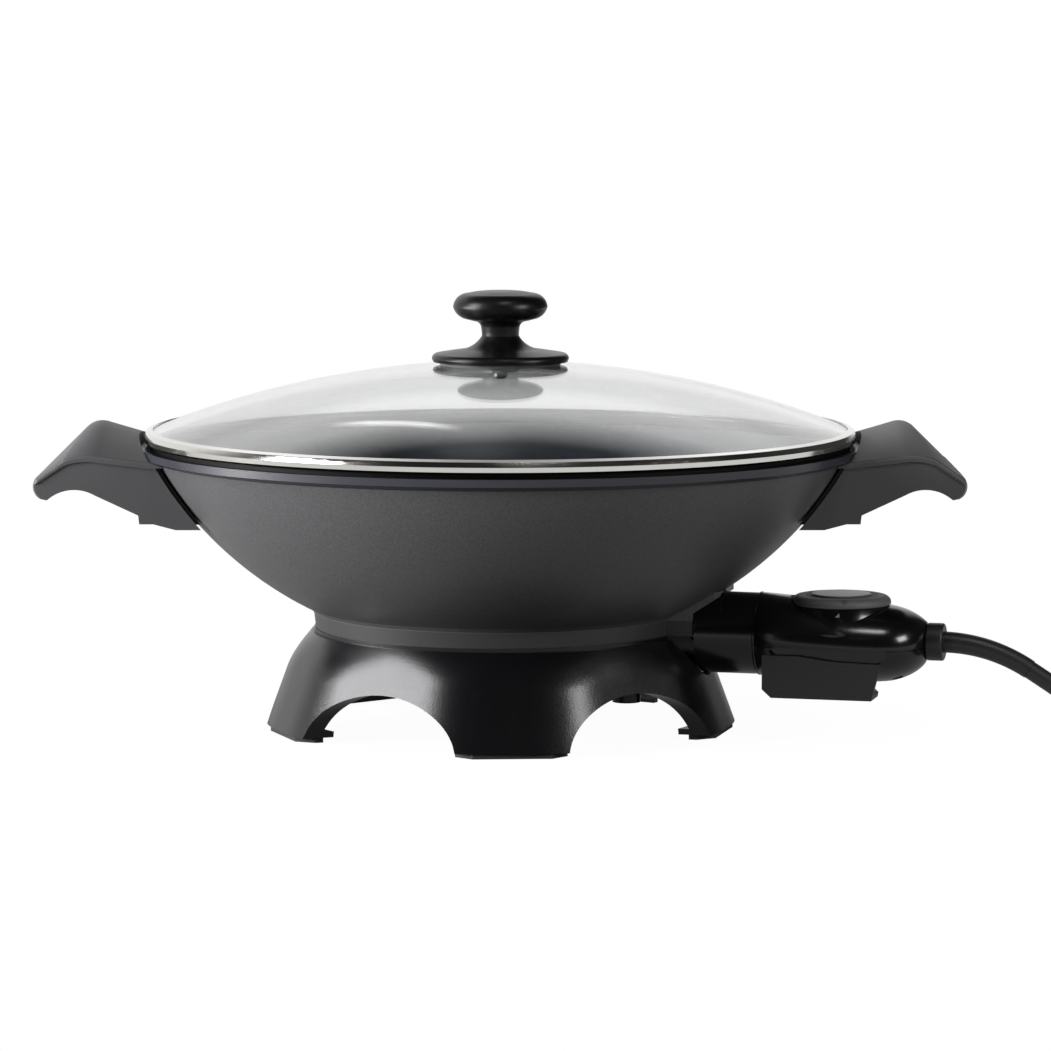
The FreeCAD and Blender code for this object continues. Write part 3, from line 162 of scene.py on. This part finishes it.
join(tree, light_path, mirrored.inputs[0], "Is Glossy Ray")
join(tree, light_path, mirrored.inputs[1], "Is Transmission Ray")
either = node_of(tree, "ShaderNodeMixShader")
join(tree, mirrored, either.inputs["Fac"])
join(tree, fill, either.inputs[1])
join(tree, mirrored_studio, either.inputs[2])
whole = node_of(tree, "ShaderNodeMixShader")
join(tree, seen, whole.inputs["Fac"])
join(tree, either, whole.inputs[1])
join(tree, white, whole.inputs[2])
world_out = node_of(tree, "ShaderNodeOutputWorld")
join(tree, whole, world_out.inputs["Surface"])

# The floor is white to the eye and fades to bare white away from the wok. To the wok's own surfaces it is
# a painted glow, not lit paper: darker near the wok as painted shade, as a floor under a flagged-off light
# would be.
floor_half = 6.0
floor_mesh = bpy.data.meshes.new("floor")
corner = np.array([(-1, -1), (1, -1), (1, 1), (-1, 1)]) * floor_half
floor_mesh.from_pydata(np.column_stack([corner, np.zeros(4)]).tolist(), [], [(0, 1, 2, 3)])
floor = bpy.data.objects.new("floor", floor_mesh)
scene.collection.objects.link(floor)
paper = bpy.data.materials.new("paper")
paper.use_nodes = True
tree = paper.node_tree
tree.nodes.clear()
lit = node_of(tree, "ShaderNodeBsdfDiffuse", Color=(0.85, 0.85, 0.85, 1.0))
glow = node_of(tree, "ShaderNodeEmission", Color=(1.0, 1.0, 1.0, 1.0), Strength=1.0)
# To rays from the wok the floor is an emission: a painted glow, dark near the wok as painted shade and
# lighter farther off.
painted_floor_glow = node_of(tree, "ShaderNodeEmission", Strength=1.0)
light_path = node_of(tree, "ShaderNodeLightPath")
seen = node_of(tree, "ShaderNodeMath", operation="MAXIMUM")
join(tree, light_path, seen.inputs[0], "Is Camera Ray")
join(tree, light_path, seen.inputs[1], "Is Transmission Ray")
floor_place = node_of(tree, "ShaderNodeTexCoord")
reach = node_of(tree, "ShaderNodeVectorMath", operation="LENGTH")
join(tree, floor_place, reach.inputs[0], "Object")
bare = ramp(tree, reach, [(0.10, 0.97), (0.25, 1.0)], output="Value")
paper_mix = node_of(tree, "ShaderNodeMixShader")
join(tree, bare, paper_mix.inputs["Fac"])
painted_glow_matt = ramp(tree, reach, [(0.35, 0.05), (0.95, 0.85)], output="Value")
mirrored = ramp(tree, reach, [(0.10, 0.30), (0.95, 0.85)], output="Value")
painted_glow_level = node_of(tree, "ShaderNodeMix", data_type="RGBA")
join(tree, light_path, painted_glow_level.inputs[0], "Is Glossy Ray")
join(tree, painted_glow_matt, painted_glow_level.inputs[6])
join(tree, mirrored, painted_glow_level.inputs[7])
tree.links.new(painted_glow_level.outputs[2], painted_floor_glow.inputs["Color"])
join(tree, lit, paper_mix.inputs[1])
join(tree, glow, paper_mix.inputs[2])
unseen_mix = node_of(tree, "ShaderNodeMixShader")
join(tree, seen, unseen_mix.inputs["Fac"])
join(tree, painted_floor_glow, unseen_mix.inputs[1])
join(tree, paper_mix, unseen_mix.inputs[2])
paper_out = node_of(tree, "ShaderNodeOutputMaterial")
join(tree, unseen_mix, paper_out.inputs["Surface"])
floor.data.materials.append(paper)


# ---------------------------------------------------------------- cast pan
# One aluminium casting with a speckled non-stick coat outside, a smooth dark band round the rim and
# a smooth non-stick coat inside. The heating element is cast into its floor.
def effect_group(name, inputs, outputs):
    """Empty shader node group with named float or colour sockets, and its two end nodes."""
    group = bpy.data.node_groups.new(name, "ShaderNodeTree")
    for label, kind, value in inputs:
        socket = group.interface.new_socket(label, in_out="INPUT", socket_type="NodeSocket" + kind)
        socket.default_value = value
    for label, kind in outputs:
        group.interface.new_socket(label, in_out="OUTPUT", socket_type="NodeSocket" + kind)
    return group, group.nodes.new("NodeGroupInput"), group.nodes.new("NodeGroupOutput")


def mixed(tree, factor, low, high):
    """Mixes two colours by a node output; each colour is a value or a node output."""
    node = node_of(tree, "ShaderNodeMix", data_type="RGBA")
    tree.links.new(factor, node.inputs[0])
    for socket, value in ((node.inputs[6], low), (node.inputs[7], high)):
        if isinstance(value, bpy.types.NodeSocket):
            tree.links.new(value, socket)
        else:
            socket.default_value = (*value, 1.0)
    return node.outputs[2]


def sum_up(tree, operation, first, second):
    """Maths node with two values or outputs; gives its output."""
    node = node_of(tree, "ShaderNodeMath", operation=operation)
    for socket, value in zip(node.inputs, (first, second)):
        if isinstance(value, bpy.types.NodeSocket):
            tree.links.new(value, socket)
        else:
            socket.default_value = value
    return node.outputs[0]


def object_space(tree):
    """Place on the piece, in metres."""
    return node_of(tree, "ShaderNodeTexCoord").outputs["Object"]


# Grain that every moulded or coated surface has: fine blobs that vary its colour, sheen and height.
grain, enter, leave = effect_group(
    "fine_grain",
    [("Vector", "Vector", (0, 0, 0)), ("Size", "Float", 0.001), ("Colour", "Color", (0.1, 0.1, 0.1, 1)),
     ("Variation", "Float", 0.2), ("Roughness", "Float", 0.5), ("Roughness Variation", "Float", 0.1)],
    [("Colour", "Color"), ("Roughness", "Float"), ("Height", "Float")])
per_metre = sum_up(grain, "DIVIDE", 1.0, enter.outputs["Size"])
fine = node_of(grain, "ShaderNodeTexNoise", Detail=2.0)
grain.links.new(enter.outputs["Vector"], fine.inputs["Vector"])
grain.links.new(per_metre, fine.inputs["Scale"])
wide = node_of(grain, "ShaderNodeTexNoise", Detail=3.0)
grain.links.new(enter.outputs["Vector"], wide.inputs["Vector"])
grain.links.new(sum_up(grain, "DIVIDE", per_metre, 40.0), wide.inputs["Scale"])
centred = sum_up(grain, "SUBTRACT", fine.outputs["Fac"], 0.5)
swing = sum_up(grain, "MULTIPLY", centred, sum_up(grain, "MULTIPLY", enter.outputs["Variation"], 4.0))
gain = sum_up(grain, "ADD", swing, 1.0)
scaled = node_of(grain, "ShaderNodeVectorMath", operation="SCALE")
grain.links.new(enter.outputs["Colour"], scaled.inputs[0])
grain.links.new(gain, scaled.inputs["Scale"])
grain.links.new(scaled.outputs[0], leave.inputs["Colour"])
spread = sum_up(grain, "MULTIPLY", enter.outputs["Roughness Variation"], 2.0)
drift = sum_up(grain, "MULTIPLY", sum_up(grain, "SUBTRACT", wide.outputs["Fac"], 0.5), spread)
grain.links.new(sum_up(grain, "ADD", drift, enter.outputs["Roughness"]), leave.inputs["Roughness"])
grain.links.new(fine.outputs["Fac"], leave.inputs["Height"])


def finish(name, colour, roughness, size=0.001, variation=0.1, roughness_variation=0.08, depth=0.00002,
           **constants):
    """Material with fine grain on a Principled shader; returns (material, tree, shader, grain node)."""
    material = bpy.data.materials.new(name)
    material.use_nodes = True
    tree = material.node_tree
    shader = tree.nodes["Principled BSDF"]
    for key, value in constants.items():
        shader.inputs[key.replace("_", " ")].default_value = value
    surface = node_of(tree, "ShaderNodeGroup", node_tree=grain)
    tree.links.new(object_space(tree), surface.inputs["Vector"])
    for key, value in (("Size", size), ("Colour", (*colour, 1.0)), ("Variation", variation),
                       ("Roughness", roughness), ("Roughness Variation", roughness_variation)):
        surface.inputs[key].default_value = value
    tree.links.new(surface.outputs["Colour"], shader.inputs["Base Color"])
    tree.links.new(surface.outputs["Roughness"], shader.inputs["Roughness"])
    bump = node_of(tree, "ShaderNodeBump", Distance=depth, Strength=1.0)
    tree.links.new(surface.outputs["Height"], bump.inputs["Height"])
    tree.links.new(bump.outputs[0], shader.inputs["Normal"])
    return material, tree, shader, surface


def dress(node, material):
    """Gives a CAD node its material, and nothing else."""
    nodes[node].data.materials.clear()
    nodes[node].data.materials.append(material)


rim_face_height, foot_ring_height = 0.1370, 0.0588
rim_black, inside_black, foot_ring_painted_shade = (0.020, 0.020, 0.027), (0.006, 0.008, 0.011), (0.022, 0.022, 0.023)
smoother_by = 0.16
coat, tree, shader, surface = finish(
    "pan_coating", (0.066, 0.066, 0.068), 0.46, size=0.0009, variation=0.32, depth=0.00006)
split = node_of(tree, "ShaderNodeSeparateXYZ")
tree.links.new(object_space(tree), split.inputs[0])
facing = node_of(tree, "ShaderNodeSeparateXYZ")
tree.links.new(node_of(tree, "ShaderNodeNewGeometry").outputs["Normal"], facing.inputs[0])
inside = sum_up(tree, "GREATER_THAN", facing.outputs["Z"], 0.02)
# The foot ring under the bowl's belly is the same speckled coat, painted a flat darker grey here as painted
# shade.
foot_ring = sum_up(tree, "LESS_THAN", split.outputs["Z"], foot_ring_height)
outside_colour = mixed(tree, foot_ring, surface.outputs["Colour"], foot_ring_painted_shade)
rim = sum_up(tree, "GREATER_THAN", split.outputs["Z"], rim_face_height)
smooth_part = sum_up(tree, "MAXIMUM", inside, rim)
rim_colour = mixed(tree, inside, rim_black, inside_black)
colour = mixed(tree, smooth_part, outside_colour, rim_colour)
tree.links.new(colour, shader.inputs["Base Color"])
smooth_sheen = sum_up(tree, "SUBTRACT", surface.outputs["Roughness"],
                      sum_up(tree, "MULTIPLY", smooth_part, smoother_by))
tree.links.new(smooth_sheen, shader.inputs["Roughness"])
height = sum_up(tree, "MULTIPLY", surface.outputs["Height"], sum_up(tree, "SUBTRACT", 1.0, smooth_part))
tree.links.new(height, tree.nodes["Bump"].inputs["Height"])
dress("wok_pan", coat)

# ---------------------------------------------------------------- heating element and its terminals
# A steel-sheathed tube cast under the floor, whose two pins reach out to the plug-in control
# through ceramic bushes.
sheath, *_ = finish("element_sheath", (0.32, 0.30, 0.28), 0.42, variation=0.15, Metallic=1.0)
pin_steel, *_ = finish("terminal_steel", (0.55, 0.54, 0.52), 0.28, size=0.0006, Metallic=1.0)
ceramic, *_ = finish("ceramic", (0.74, 0.72, 0.66), 0.62, variation=0.05)
dress("heating_element", sheath)
dress("element_terminals", pin_steel)
dress("terminal_bushes", ceramic)

# ---------------------------------------------------------------- stand
# Injection-moulded heat-proof plastic with a fine eroded texture, semi-gloss black, on five rubber
# pads; three screws go up through its columns into the pan.
stand_plastic, *_ = finish("stand_plastic", (0.002, 0.002, 0.0025), 0.29, size=0.0011, variation=0.12,
                           roughness_variation=0.02, depth=0.00005, Specular_IOR_Level=0.42)
rubber, *_ = finish("pad_rubber", (0.02, 0.02, 0.02), 0.75, variation=0.2)
screw_steel, *_ = finish("screw_steel", (0.50, 0.50, 0.50), 0.32, variation=0.08, Metallic=1.0)
dress("base_stand", stand_plastic)
for number in range(1, 6):
    dress("foot_pad_%d" % number, rubber)
dress("stand_screws", screw_steel)

# ---------------------------------------------------------------- handles
# Hollow phenolic mouldings with a matt, slightly textured face, each screwed up to a lug on the rim,
# with a bent steel guard plate between the hollow and the bowl.
handle_plastic, *_ = finish("handle_plastic", (0.048, 0.048, 0.050), 0.52, size=0.0008, variation=0.10,
                            depth=0.00004)
guard_steel, *_ = finish("guard_steel", (0.012, 0.012, 0.012), 0.45)
for side in ("left", "right"):
    dress(side + "_handle", handle_plastic)
    dress(side + "_handle_guard", guard_steel)
dress("handle_screws", screw_steel)

# ---------------------------------------------------------------- glass lid
# A pressed dome of tempered soda-lime glass, faintly green, held in a rolled band of polished
# stainless steel; its lower flange, in the dark between lid and rim, is painted near black as shade.
glass = bpy.data.materials.new("lid_glass")
glass.use_nodes = True
tree = glass.node_tree
shader = tree.nodes["Principled BSDF"]
shader.inputs["Base Color"].default_value = (0.955, 0.965, 0.960, 1.0)
shader.inputs["Roughness"].default_value = 0.01
shader.inputs["IOR"].default_value = 1.5
shader.inputs["Transmission Weight"].default_value = 1.0
clear = node_of(tree, "ShaderNodeBsdfTransparent", Color=(0.9, 0.91, 0.905, 1.0))
shadow_mix = node_of(tree, "ShaderNodeMixShader")
join(tree, node_of(tree, "ShaderNodeLightPath"), shadow_mix.inputs["Fac"], "Is Shadow Ray")
join(tree, shader, shadow_mix.inputs[1])
join(tree, clear, shadow_mix.inputs[2])
join(tree, shadow_mix, tree.nodes["Material Output"].inputs["Surface"])
dress("lid_glass", glass)
polished, tree, shader, surface = finish(
    "band_steel", (0.66, 0.65, 0.62), 0.13, size=0.0005, variation=0.03, roughness_variation=0.05,
    depth=0.000004, Metallic=1.0)
split = node_of(tree, "ShaderNodeSeparateXYZ")
tree.links.new(object_space(tree), split.inputs[0])
# Below the rolled bead the band is painted near black and dulled: painted shade in the gap between lid and
# rim.
rolled_edge_height = 0.1462
flange_painted_shade, duller_by = (0.012, 0.012, 0.012), 0.4
under_bead = sum_up(tree, "LESS_THAN", split.outputs["Z"], rolled_edge_height)
colour = mixed(tree, under_bead, surface.outputs["Colour"], flange_painted_shade)
tree.links.new(colour, shader.inputs["Base Color"])
dulled = sum_up(tree, "ADD", surface.outputs["Roughness"], sum_up(tree, "MULTIPLY", under_bead, duller_by))
tree.links.new(dulled, shader.inputs["Roughness"])
dress("lid_band", polished)

# ---------------------------------------------------------------- knob
# Two satin black mouldings: a skirt that rests on the glass through a thin gasket, and a mushroom
# grip over it. One screw from below pulls on a brass insert in the grip.
knob_plastic, *_ = finish("knob_plastic", (0.002, 0.002, 0.002), 0.34, size=0.0006, variation=0.1,
                          Specular_IOR_Level=0.25)
brass, *_ = finish("brass", (0.62, 0.44, 0.18), 0.3, Metallic=1.0)
silicone, *_ = finish("silicone", (0.045, 0.046, 0.046), 0.6)
dress("knob_skirt", knob_plastic)
dress("knob_grip", knob_plastic)
dress("knob_insert", brass)
dress("knob_gasket", silicone)
dress("knob_lower_gasket", silicone)
dress("knob_washer", screw_steel)
dress("knob_screw", screw_steel)

# ---------------------------------------------------------------- control
# A plug-in thermostat in a glossy two-part case, with a collar that enters the casting, a soft-touch
# dial, a matt eject lever and the switch gear inside.
case_plastic, *_ = finish("case_plastic", (0.003, 0.003, 0.003), 0.20, size=0.0012, variation=0.06,
                          roughness_variation=0.02, depth=0.000006)
dial_soft, *_ = finish("dial_soft", (0.085, 0.087, 0.086), 0.55, size=0.0006, variation=0.12,
                       depth=0.00003)
lever_plastic, *_ = finish("lever_plastic", (0.009, 0.009, 0.009), 0.48, size=0.0006, variation=0.1,
                           depth=0.00003)
spring_steel, *_ = finish("spring_steel", (0.45, 0.45, 0.46), 0.3, Metallic=1.0)
for node in ("control_collar", "control_upper_shell", "control_lower_shell"):
    dress(node, case_plastic)
dress("contact_block", ceramic)
dress("socket_contacts", brass)
dress("sensor_probe", pin_steel)
dress("dial_knob", dial_soft)
dial_smooth, *_ = finish("dial_smooth", (0.07, 0.07, 0.07), 0.36, size=0.0006, variation=0.08)
dress("dial_cap", dial_smooth)
dress("dial_shaft", screw_steel)
dress("eject_lever", lever_plastic)
dress("lever_pin", screw_steel)
dress("lever_spring", spring_steel)
dress("thermostat_frame", screw_steel)
dress("thermostat_stack", ceramic)
dress("thermostat_blades", brass)
dress("shell_screws", screw_steel)

# ---------------------------------------------------------------- marks on the dial
# Plain numbers printed in black round the dial's ring, each turned to be read from outside, and a
# small light triangle on the case, under the front of the dial, that they are set against.
digit_paths = {
    0: [(0.3, 0), (0.08, 0.12), (0, 0.4), (0, 0.6), (0.08, 0.88), (0.3, 1), (0.52, 0.88), (0.6, 0.6),
        (0.6, 0.4), (0.52, 0.12), (0.3, 0)],
    1: [(0.12, 0.78), (0.36, 1), (0.36, 0)],
    2: [(0, 0.8), (0.12, 0.97), (0.46, 0.97), (0.6, 0.8), (0.6, 0.62), (0, 0), (0.62, 0)],
    3: [(0, 0.97), (0.58, 0.97), (0.24, 0.58), (0.5, 0.5), (0.6, 0.28), (0.46, 0.03), (0.12, 0.03),
        (0, 0.18)],
    4: [(0.44, 0), (0.44, 1), (0, 0.28), (0.62, 0.28)],
    5: [(0.56, 0.97), (0.06, 0.97), (0.02, 0.56), (0.42, 0.6), (0.6, 0.32), (0.46, 0.03), (0, 0.03)],
    6: [(0.5, 1), (0.1, 0.6), (0, 0.26), (0.18, 0), (0.44, 0), (0.6, 0.26), (0.44, 0.52), (0.1, 0.48)],
    7: [(0, 0.97), (0.6, 0.97), (0.2, 0)],
    8: [(0.3, 0.54), (0.04, 0.77), (0.3, 1), (0.56, 0.77), (0.3, 0.54), (0, 0.26), (0.3, 0), (0.6, 0.26),
        (0.3, 0.54)]}


def surface_mesh(name, patches):
    """Object from grids of points, each of shape (rows, columns, 3)."""
    points, faces = [], []
    for patch in patches:
        rows, columns = patch.shape[:2]
        first = sum(map(len, points))
        index = first + np.arange(rows * columns).reshape(rows, columns)
        corners = np.stack([index[:-1, :-1], index[1:, :-1], index[1:, 1:], index[:-1, 1:]], axis=-1)
        faces.extend(corners.reshape(-1, 4).tolist())
        points.append(patch.reshape(-1, 3))
    mesh = bpy.data.meshes.new(name)
    mesh.from_pydata(np.vstack(points).tolist(), [], faces)
    piece = bpy.data.objects.new(name, mesh)
    scene.collection.objects.link(piece)
    return piece


def stroke(path, width):
    """Flat stroke along a path in a plane.

    P(t, s) = path(t) + s * width / 2 * normal(t); t counts the path's corners, s runs from -1 to 1,
    and the normal at a corner halves the angle between the two lengths that meet there."""
    path = np.array(path, dtype=float)
    ways = np.diff(path, axis=0)
    ways /= np.linalg.norm(ways, axis=1)[:, None]
    before, after = np.vstack([ways[:1], ways]), np.vstack([ways, ways[-1:]])
    along = before + after
    along /= np.linalg.norm(along, axis=1)[:, None]
    wider = 1.0 / np.clip(np.sum(along * before, axis=1), 0.5, 1.0)
    normal = np.column_stack([-along[:, 1], along[:, 0]]) * wider[:, None]
    sides = np.array([-1.0, 1.0])[None, :, None]
    return path[:, None, :] + sides * width / 2 * normal[:, None, :]


dial_verts = np.array([nodes["dial_knob"].matrix_world @ v.co for v in nodes["dial_knob"].data.vertices])
dial_top = dial_verts[:, 2].max()
dial_middle = (dial_verts.min(axis=0) + dial_verts.max(axis=0))[:2] / 2
dial_radius = (dial_verts[:, 0].max() - dial_verts[:, 0].min()) / 2
shoulder, lift = 0.0034, 0.00004
digit_height, digit_foot_slope, digit_stroke = 0.0028, np.radians(60.0), 0.0005
number_step = np.radians(35.0)
marks = []
for number, path in digit_paths.items():
    # A digit's own (u, v) goes to the shoulder: slope a = foot - v / R, and from the dial's axis
    # r = r0 + R sin a, z = z0 + R cos a, with u along the circle.
    flat = stroke((np.array(path) - (0.3, 0.0)) * digit_height, digit_stroke)
    slope = digit_foot_slope - flat[..., 1] / shoulder
    radius = dial_radius - shoulder + (shoulder + lift) * np.sin(slope)
    out = -np.pi / 2 + number * number_step + flat[..., 0] / radius
    marks.append(np.stack([dial_middle[0] + radius * np.cos(out), dial_middle[1] + radius * np.sin(out),
                           dial_top - shoulder + (shoulder + lift) * np.cos(slope)], axis=-1))
dial_numbers = surface_mesh("dial_numbers", marks)
mark_black, *_ = finish("mark_black", (0.006, 0.006, 0.006), 0.5)
dial_numbers.data.materials.append(mark_black)
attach(dial_numbers, "dial")

# The pointer, in millimetres: P(t, s) has the height low + t * height, the azimuth side - s * (1 - t) *
# width / r, and the radius of the case under the dial, r(d) = 24.26 + 0.137 d + 0.0213 d^2 at a depth d.
pointer_low, pointer_height, pointer_width, pointer_side = 63.3, 2.1, 2.2, np.radians(-96.0)
case_top = 66.7
t, s = np.meshgrid(np.linspace(0, 1, 5), np.linspace(0, 1, 5), indexing="ij")
height = pointer_low + t * pointer_height
down = case_top - height
radius = 24.26 + 0.137 * down + 0.0213 * down ** 2
out = pointer_side - s * (1 - t) * pointer_width / radius
pointer = surface_mesh("pointer", [np.stack([dial_middle[0] + radius * np.cos(out) / 1000,
                                             dial_middle[1] + radius * np.sin(out) / 1000,
                                             height / 1000], axis=-1)])
mark_grey, *_ = finish("mark_grey", (0.18, 0.18, 0.18), 0.5)
pointer.data.materials.append(mark_grey)
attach(pointer, "control")

# ---------------------------------------------------------------- supply cord and plug
# A round three-core rubber cord 9 mm thick: out of a tapered sleeve, down to the table and along it,
# wound up neatly in a little over three turns, with its plug beside the coil.
cord_rubber, *_ = finish("cord_rubber", (0.012, 0.012, 0.012), 0.42, size=0.001, variation=0.15)
cord_thickness = 0.009
on_table = cord_thickness / 2
control_way = np.radians(345.7)
outward = np.array([np.cos(control_way), np.sin(control_way), 0.0])
lead = [(0.27086, 0.03717), (0.2885, 0.0262), (0.307, 0.0135), (0.330, on_table), (0.352, on_table)]
lead = [radius * outward + np.array([0.0, 0.0, z]) for radius, z in lead]
coil_radius, inner_radius = 0.054, 0.045
turn_middle = lead[-1] + coil_radius * np.array([-np.sin(control_way), np.cos(control_way), 0.0])
turn_middle[2] = 0.0


def winding(angle, radius, height):
    """Points of a coil: P(a) = middle + (r cos a, r sin a, h)."""
    return np.column_stack([turn_middle[0] + radius * np.cos(angle), turn_middle[1] + radius * np.sin(angle),
                            height])


points_each_turn = 12
first_angle = 255.7
wound = 2.0 + (360.0 - first_angle) / 360.0
share = np.linspace(0.0, 1.0, int(round(wound * points_each_turn)) + 1)
lower_turns = winding(np.radians(first_angle) + share * wound * 2 * np.pi,
                      coil_radius - cord_thickness * np.clip(share * wound / 2.0, 0.0, 1.0),
                      np.full_like(share, on_table))
share = np.linspace(0.0, 1.0, points_each_turn + 1)[1:]
upper_turn = winding(share * 2 * np.pi, inner_radius + 0.0045 * np.clip(share * 2.0, 0.0, 1.0),
                     on_table + 0.0080 * np.clip(share * 3.0, 0.0, 1.0))
tail = [turn_middle + np.array(step) for step in
        ((0.0503, 0.026, 0.0134), (0.0489, 0.052, 0.0166), (0.0455, 0.077, 0.0185))]
route = np.vstack([lead[:-1], lower_turns, upper_turn, tail])
line = bpy.data.curves.new("cord_line", "CURVE")
line.dimensions = "3D"
spline = line.splines.new("NURBS")
spline.points.add(len(route) - 1)
spline.points.foreach_set("co", np.column_stack([route, np.ones(len(route))]).ravel())
spline.order_u = 3
spline.use_endpoint_u = True
spline.resolution_u = 12
line.bevel_depth = cord_thickness / 2
line.bevel_resolution = 5
line.use_fill_caps = True
cord = bpy.data.objects.new("cord", line)
scene.collection.objects.link(cord)
line.materials.append(cord_rubber)
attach(cord, "control")
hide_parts("supply_cord", "cord_coil", "plug_tail")
dress("strain_relief", cord_rubber)
dress("plug_body", cord_rubber)
dress("plug_pins", pin_steel)
